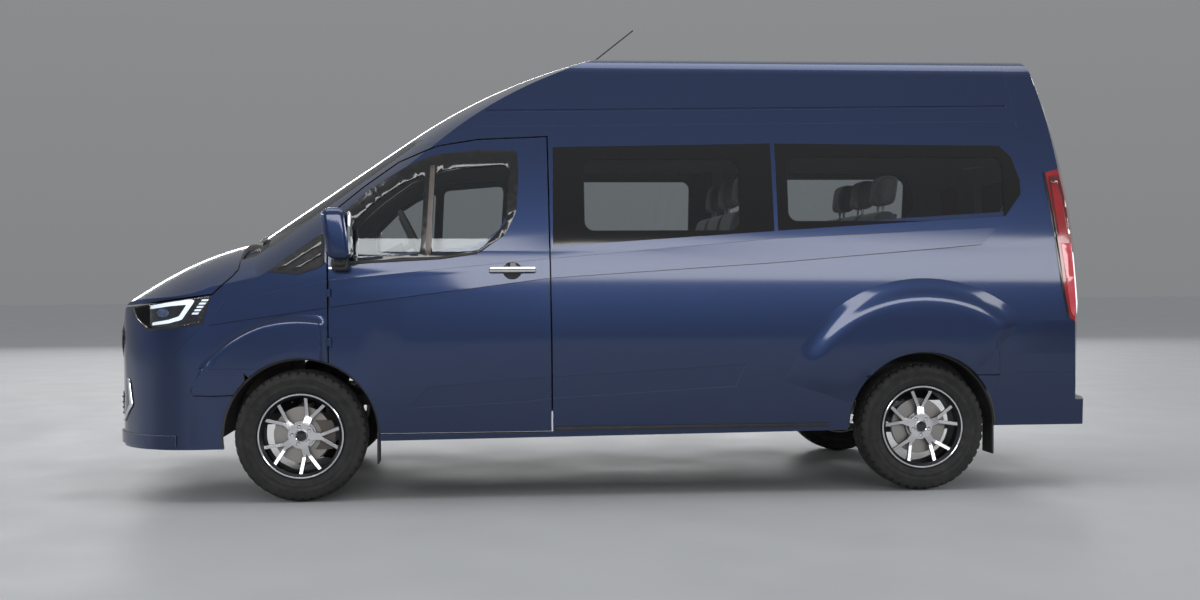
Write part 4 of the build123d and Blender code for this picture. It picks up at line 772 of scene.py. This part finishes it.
def swell(cover, lines, cap):
    """Cloth blown up by pressure, with a cap on how far a point may move."""
    rest = cover.data
    sewn = cover.vertex_groups.new(name="sewn")
    held = [v.index for v in rest.vertices if any(abs(v.co.y / MM - line) < SEWN_HALF for line in lines)]
    if held:
        sewn.add(held, 1.0, "REPLACE")
    cloth = cover.modifiers.new("filling", "CLOTH")
    if held:
        cloth.settings.vertex_group_mass = "sewn"
    cloth.settings.use_pressure = True
    cloth.settings.uniform_pressure_force = PRESSURE
    cloth.settings.tension_stiffness = STIFFNESS
    cloth.settings.compression_stiffness = STIFFNESS
    cloth.settings.effector_weights.gravity = 0.0
    cloth.collision_settings.use_collision = False
    cloth.point_cache.frame_start, cloth.point_cache.frame_end = 1, LAST_STEP
    for step in range(1, LAST_STEP + 1):
        bpy.context.scene.frame_set(step)
    blown = bpy.data.meshes.new_from_object(cover.evaluated_get(bpy.context.evaluated_depsgraph_get()))
    bpy.context.scene.frame_set(1)
    cover.modifiers.clear()
    for before, after in zip(rest.vertices, blown.vertices):
        move = after.co - before.co
        after.co = before.co + move * min(1.0, cap / max(move.length, 1e-9))
    cover.data = blown


PAD_COVERS = {kind: stuffed(kind) for kind in PADS}


def seat_place(hip, middle, width, node, row):
    """One place: its pads, base, back shell and head rest posts."""
    def box(along, half, up, edge, aside=0):
        low = (hip + along[0], middle + aside - half, SEAT_FLOOR + up[0])
        high = (hip + along[1], middle + aside + half, SEAT_FLOOR + up[1])
        return bar(low, high, edge)

    shift = Matrix.Translation(Vector((hip, middle, SEAT_FLOOR)) * MM)
    fit = shift @ Matrix.Diagonal((1, width / PAD_WIDTH, 1, 1))
    for kind, cover in PAD_COVERS.items():
        mesh = bmesh.new()
        mesh.from_mesh(cover)
        bmesh.ops.transform(mesh, matrix=shift if kind == "head_rest" else fit, verts=mesh.verts[:])
        pad = piece(f"seat_{kind}_{row}", mesh, "body", CLOTH, slot="seat_cloth", sharp=80)
        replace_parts(pad, node)
    half = width / 2 - SIDE_INSET
    piece(f"seat_base_{row}", box(BASE_X, half, BASE_Z, 12), "body", BLACK_PLASTIC, slot="trim")
    shell = box(SHELL_X, half, SHELL_Z, 10)
    for vert in shell.verts:
        vert.co.x += SHELL_LEAN * (vert.co.z / MM - SEAT_FLOOR - LEAN_FROM) / LEAN_OVER
    posts = [box(POST_X, POST_HALF, POST_Z, 5, aside) for aside in (-POST_Y, POST_Y)]
    piece(f"seat_shell_{row}", shell, "body", TRIM, slot="trim")
    piece(f"head_posts_{row}", joined(*posts), "body", STEEL, slot="steel")


for place in PLACES:
    seat_place(*place)


# Wheel flares: a skin that swells softly out of the flank over each step

FLARE_INNER = 408.0
FLARE_ROWS, FLARE_COLUMNS = 24, 80
FLARE_LIFT = 0.5
# The front fan stops at the door seam and above the bumper seam, the rear one at two angles
DOOR_SEAM, BUMPER_SEAM = 138.0, 349.0
REAR_ENDS = (46, 161)
# Flare: outer reach, how far the step is spread and how often it is averaged
FLARES = {"front": (632.0, 1, 5), "rear": (800.0, 3, 8)}
# Share of its own height that a point keeps in each averaging, and of each neighbour's that it takes
KEPT, SHARED = 0.4, 0.15


def fan_ends(end, reach):
    """First and last turn of the fan at a given reach."""
    if end == "front":
        return acos(DOOR_SEAM / reach), pi - asin(BUMPER_SEAM / reach)
    return tuple(radians(turn) for turn in REAR_ENDS)


def eased(heights, spread, passes):
    """Heights on a grid, each raised to the tallest near it and then averaged; the border stays."""
    rows, columns = len(heights), len(heights[0])
    inner = [(i, j) for i in range(1, rows - 1) for j in range(1, columns - 1)]
    tall = [row[:] for row in heights]
    for i, j in inner:
        near = heights[max(0, i - spread):i + spread + 1]
        tall[i][j] = max(max(row[max(0, j - spread):j + spread + 1]) for row in near)
    for _ in range(passes):
        last = [row[:] for row in tall]
        for i, j in inner:
            beside = last[i - 1][j] + last[i + 1][j] + last[i][j - 1] + last[i][j + 1]
            tall[i][j] = last[i][j] * KEPT + beside * SHARED
    return tall


def flare_skin(end, side, target):
    """Fan from the arch edge to the flank, lying on the panel along its border."""
    outer, spread, passes = FLARES[end]
    axle, start = AXLES[end], Vector((0, RAY_START * side, 0))
    spots, panel = [], []
    for i in range(FLARE_ROWS):
        reach = FLARE_INNER + (outer - FLARE_INNER) * i / (FLARE_ROWS - 1)
        first, last = fan_ends(end, reach)
        turns = [first + (last - first) * j / (FLARE_COLUMNS - 1) for j in range(FLARE_COLUMNS)]
        spots.append([Vector((axle + reach * cos(t), 0, TYRE_RADIUS + reach * sin(t))) * MM for t in turns])
        hits = [target.ray_cast(at + start, (0, -side, 0))[0] for at in spots[-1]]
        panel.append([abs(hit.y) for hit in hits])
    smooth = eased(panel, spread, passes)
    mesh = bmesh.new()
    layers = []
    for lift in (0.0, FLARE_LIFT * MM):
        grid = []
        for line in zip(spots, panel, smooth):
            points = [(at.x, side * (max(low, high) + lift), at.z) for at, low, high in zip(*line)]
            grid.append([mesh.verts.new(point) for point in points])
        layers.append(grid)
    for grid in layers:
        for near, far in zip(grid, grid[1:]):
            for j in range(FLARE_COLUMNS - 1):
                mesh.faces.new((near[j], near[j + 1], far[j + 1], far[j]))
    rims = []
    for grid in layers:
        there, back = [row[-1] for row in grid[1:]], [row[0] for row in grid[-2:0:-1]]
        rims.append(grid[0] + there + grid[-1][-2::-1] + back)
    low, high = rims
    for k in range(len(low)):
        mesh.faces.new((low[k - 1], low[k], high[k], high[k - 1]))
    return mesh


for hand, side in SIDES.items():
    for end, panels in (("front", "wings"), ("rear", f"side_{hand}")):
        skin = flare_skin(end, side, surface_of(panels))
        piece(f"{end}_flare_{hand}", skin, "body", CAP_PAINT, slot="body_paint", sharp=50)


# Sill mouldings

SILL = [(-340, 352), (1130, 352), (1130, 372), (-340, 372)]
SILL_PANELS = {"left": ("side_left",), "right": ("side_right", "sliding_door")}
for hand, side in SIDES.items():
    moulding = draped(SILL, surface_of(*SILL_PANELS[hand]), (0, side, 0), 0.5, 4, edge=1.5)
    piece(f"sill_moulding_{hand}", moulding, "body", BLACK_PLASTIC, slot="dark_plastic")


# Stage: pale floor, soft light, camera, surround

FLOOR_HALF = 60.0


def stage_floor():
    """Plain pale floor."""
    mesh = bmesh.new()
    bmesh.ops.create_grid(mesh, x_segments=1, y_segments=1, size=FLOOR_HALF)
    data = bpy.data.meshes.new("floor")
    mesh.to_mesh(data)
    mesh.free()
    floor = bpy.data.objects.new("floor", data)
    bpy.context.scene.collection.objects.link(floor)
    pale = Finish("pale_floor", (0.4, 0.41, 0.42), 0.6)
    pale.mottle((0.385, 0.395, 0.41), 0.6).wear(0.5, 0.65, 2)
    data.materials.append(pale.mat)


def soft_box(name, place, aim, size, power):
    """Area light that the camera doesn't see."""
    lamp = bpy.data.lights.new(name, "AREA")
    lamp.shape = "RECTANGLE"
    lamp.size, lamp.size_y = size
    lamp.energy = power
    holder = bpy.data.objects.new(name, lamp)
    holder.location = place
    holder.visible_camera = False
    holder.rotation_euler = (Vector(aim) - Vector(place)).to_track_quat("-Z", "Y").to_euler()
    bpy.context.scene.collection.objects.link(holder)


# The photograph's camera: place, turns in degrees, focal length and width in its pixels
CAMERA_AT = (-0.7215, -8.314, 1.161)
CAMERA_YAW = 4.84
CAMERA_PITCH = -0.95
CAMERA_ROLL = -0.34
FOCAL_PIXELS = 1400.0
IMAGE_WIDTH = 1200.0
SENSOR = 36.0
FARTHEST = 200.0


def photo_camera():
    """The photograph's own view."""
    lens_data = bpy.data.cameras.new("photo_camera")
    lens_data.sensor_fit = "HORIZONTAL"
    lens_data.sensor_width = SENSOR
    lens_data.lens = SENSOR * FOCAL_PIXELS / IMAGE_WIDTH
    lens_data.clip_end = FARTHEST
    camera = bpy.data.objects.new("photo_camera", lens_data)
    turn = Matrix.Rotation(radians(-CAMERA_YAW), 4, "Z") @ Matrix.Rotation(radians(90 + CAMERA_PITCH), 4, "X")
    turn = turn @ Matrix.Rotation(radians(CAMERA_ROLL), 4, "Z")
    camera.matrix_world = Matrix.Translation(CAMERA_AT) @ turn
    bpy.context.scene.collection.objects.link(camera)
    bpy.context.scene.camera = camera


# World brightness at the horizon, a little above it (height, level) and overhead
HORIZON, MIDDLE, ZENITH = 0.3, (0.22, 0.34), 0.8
WORLD_TINT = (0.96, 0.98, 1.0)
WORLD_STRENGTH = 0.8


def studio_world():
    """Even studio surround that is dim at the horizon and bright overhead."""
    world = bpy.data.worlds.new("studio")
    world.use_nodes = True
    tree = world.node_tree
    up = tree.nodes.new("ShaderNodeSeparateXYZ")
    tree.links.new(tree.nodes.new("ShaderNodeTexCoord").outputs["Generated"], up.inputs[0])
    ramp = tree.nodes.new("ShaderNodeValToRGB")
    stops = ramp.color_ramp.elements
    for stop, level in ((stops[0], HORIZON), (stops.new(MIDDLE[0]), MIDDLE[1]), (stops[-1], ZENITH)):
        stop.color = (*(level * share for share in WORLD_TINT), 1)
    tree.links.new(up.outputs["Z"], ramp.inputs["Fac"])
    tree.links.new(ramp.outputs["Color"], tree.nodes["Background"].inputs["Color"])
    tree.nodes["Background"].inputs["Strength"].default_value = WORLD_STRENGTH
    bpy.context.scene.world = world


# Light: name, place, aim, size, power
LIGHTS = [
    ("roof_box", (0, -1.0, 7.5), (0, 0, 0.8), (9, 4), 260),
    ("near_strip", (0, -16, 4.6), (0, 0, 1.2), (20, 2.0), 800),
    ("far_strip", (0, 16, 4.6), (0, 0, 1.2), (20, 2.0), 800),
    ("nose_strip", (-16, 0, 5.0), (0, 0, 1.2), (12, 2.0), 800),
    ("tail_strip", (16, 0, 5.0), (0, 0, 1.2), (12, 2.0), 800),
]
stage_floor()
for light in LIGHTS:
    soft_box(*light)
photo_camera()
studio_world()
bpy.context.scene.view_settings.view_transform = "Standard"
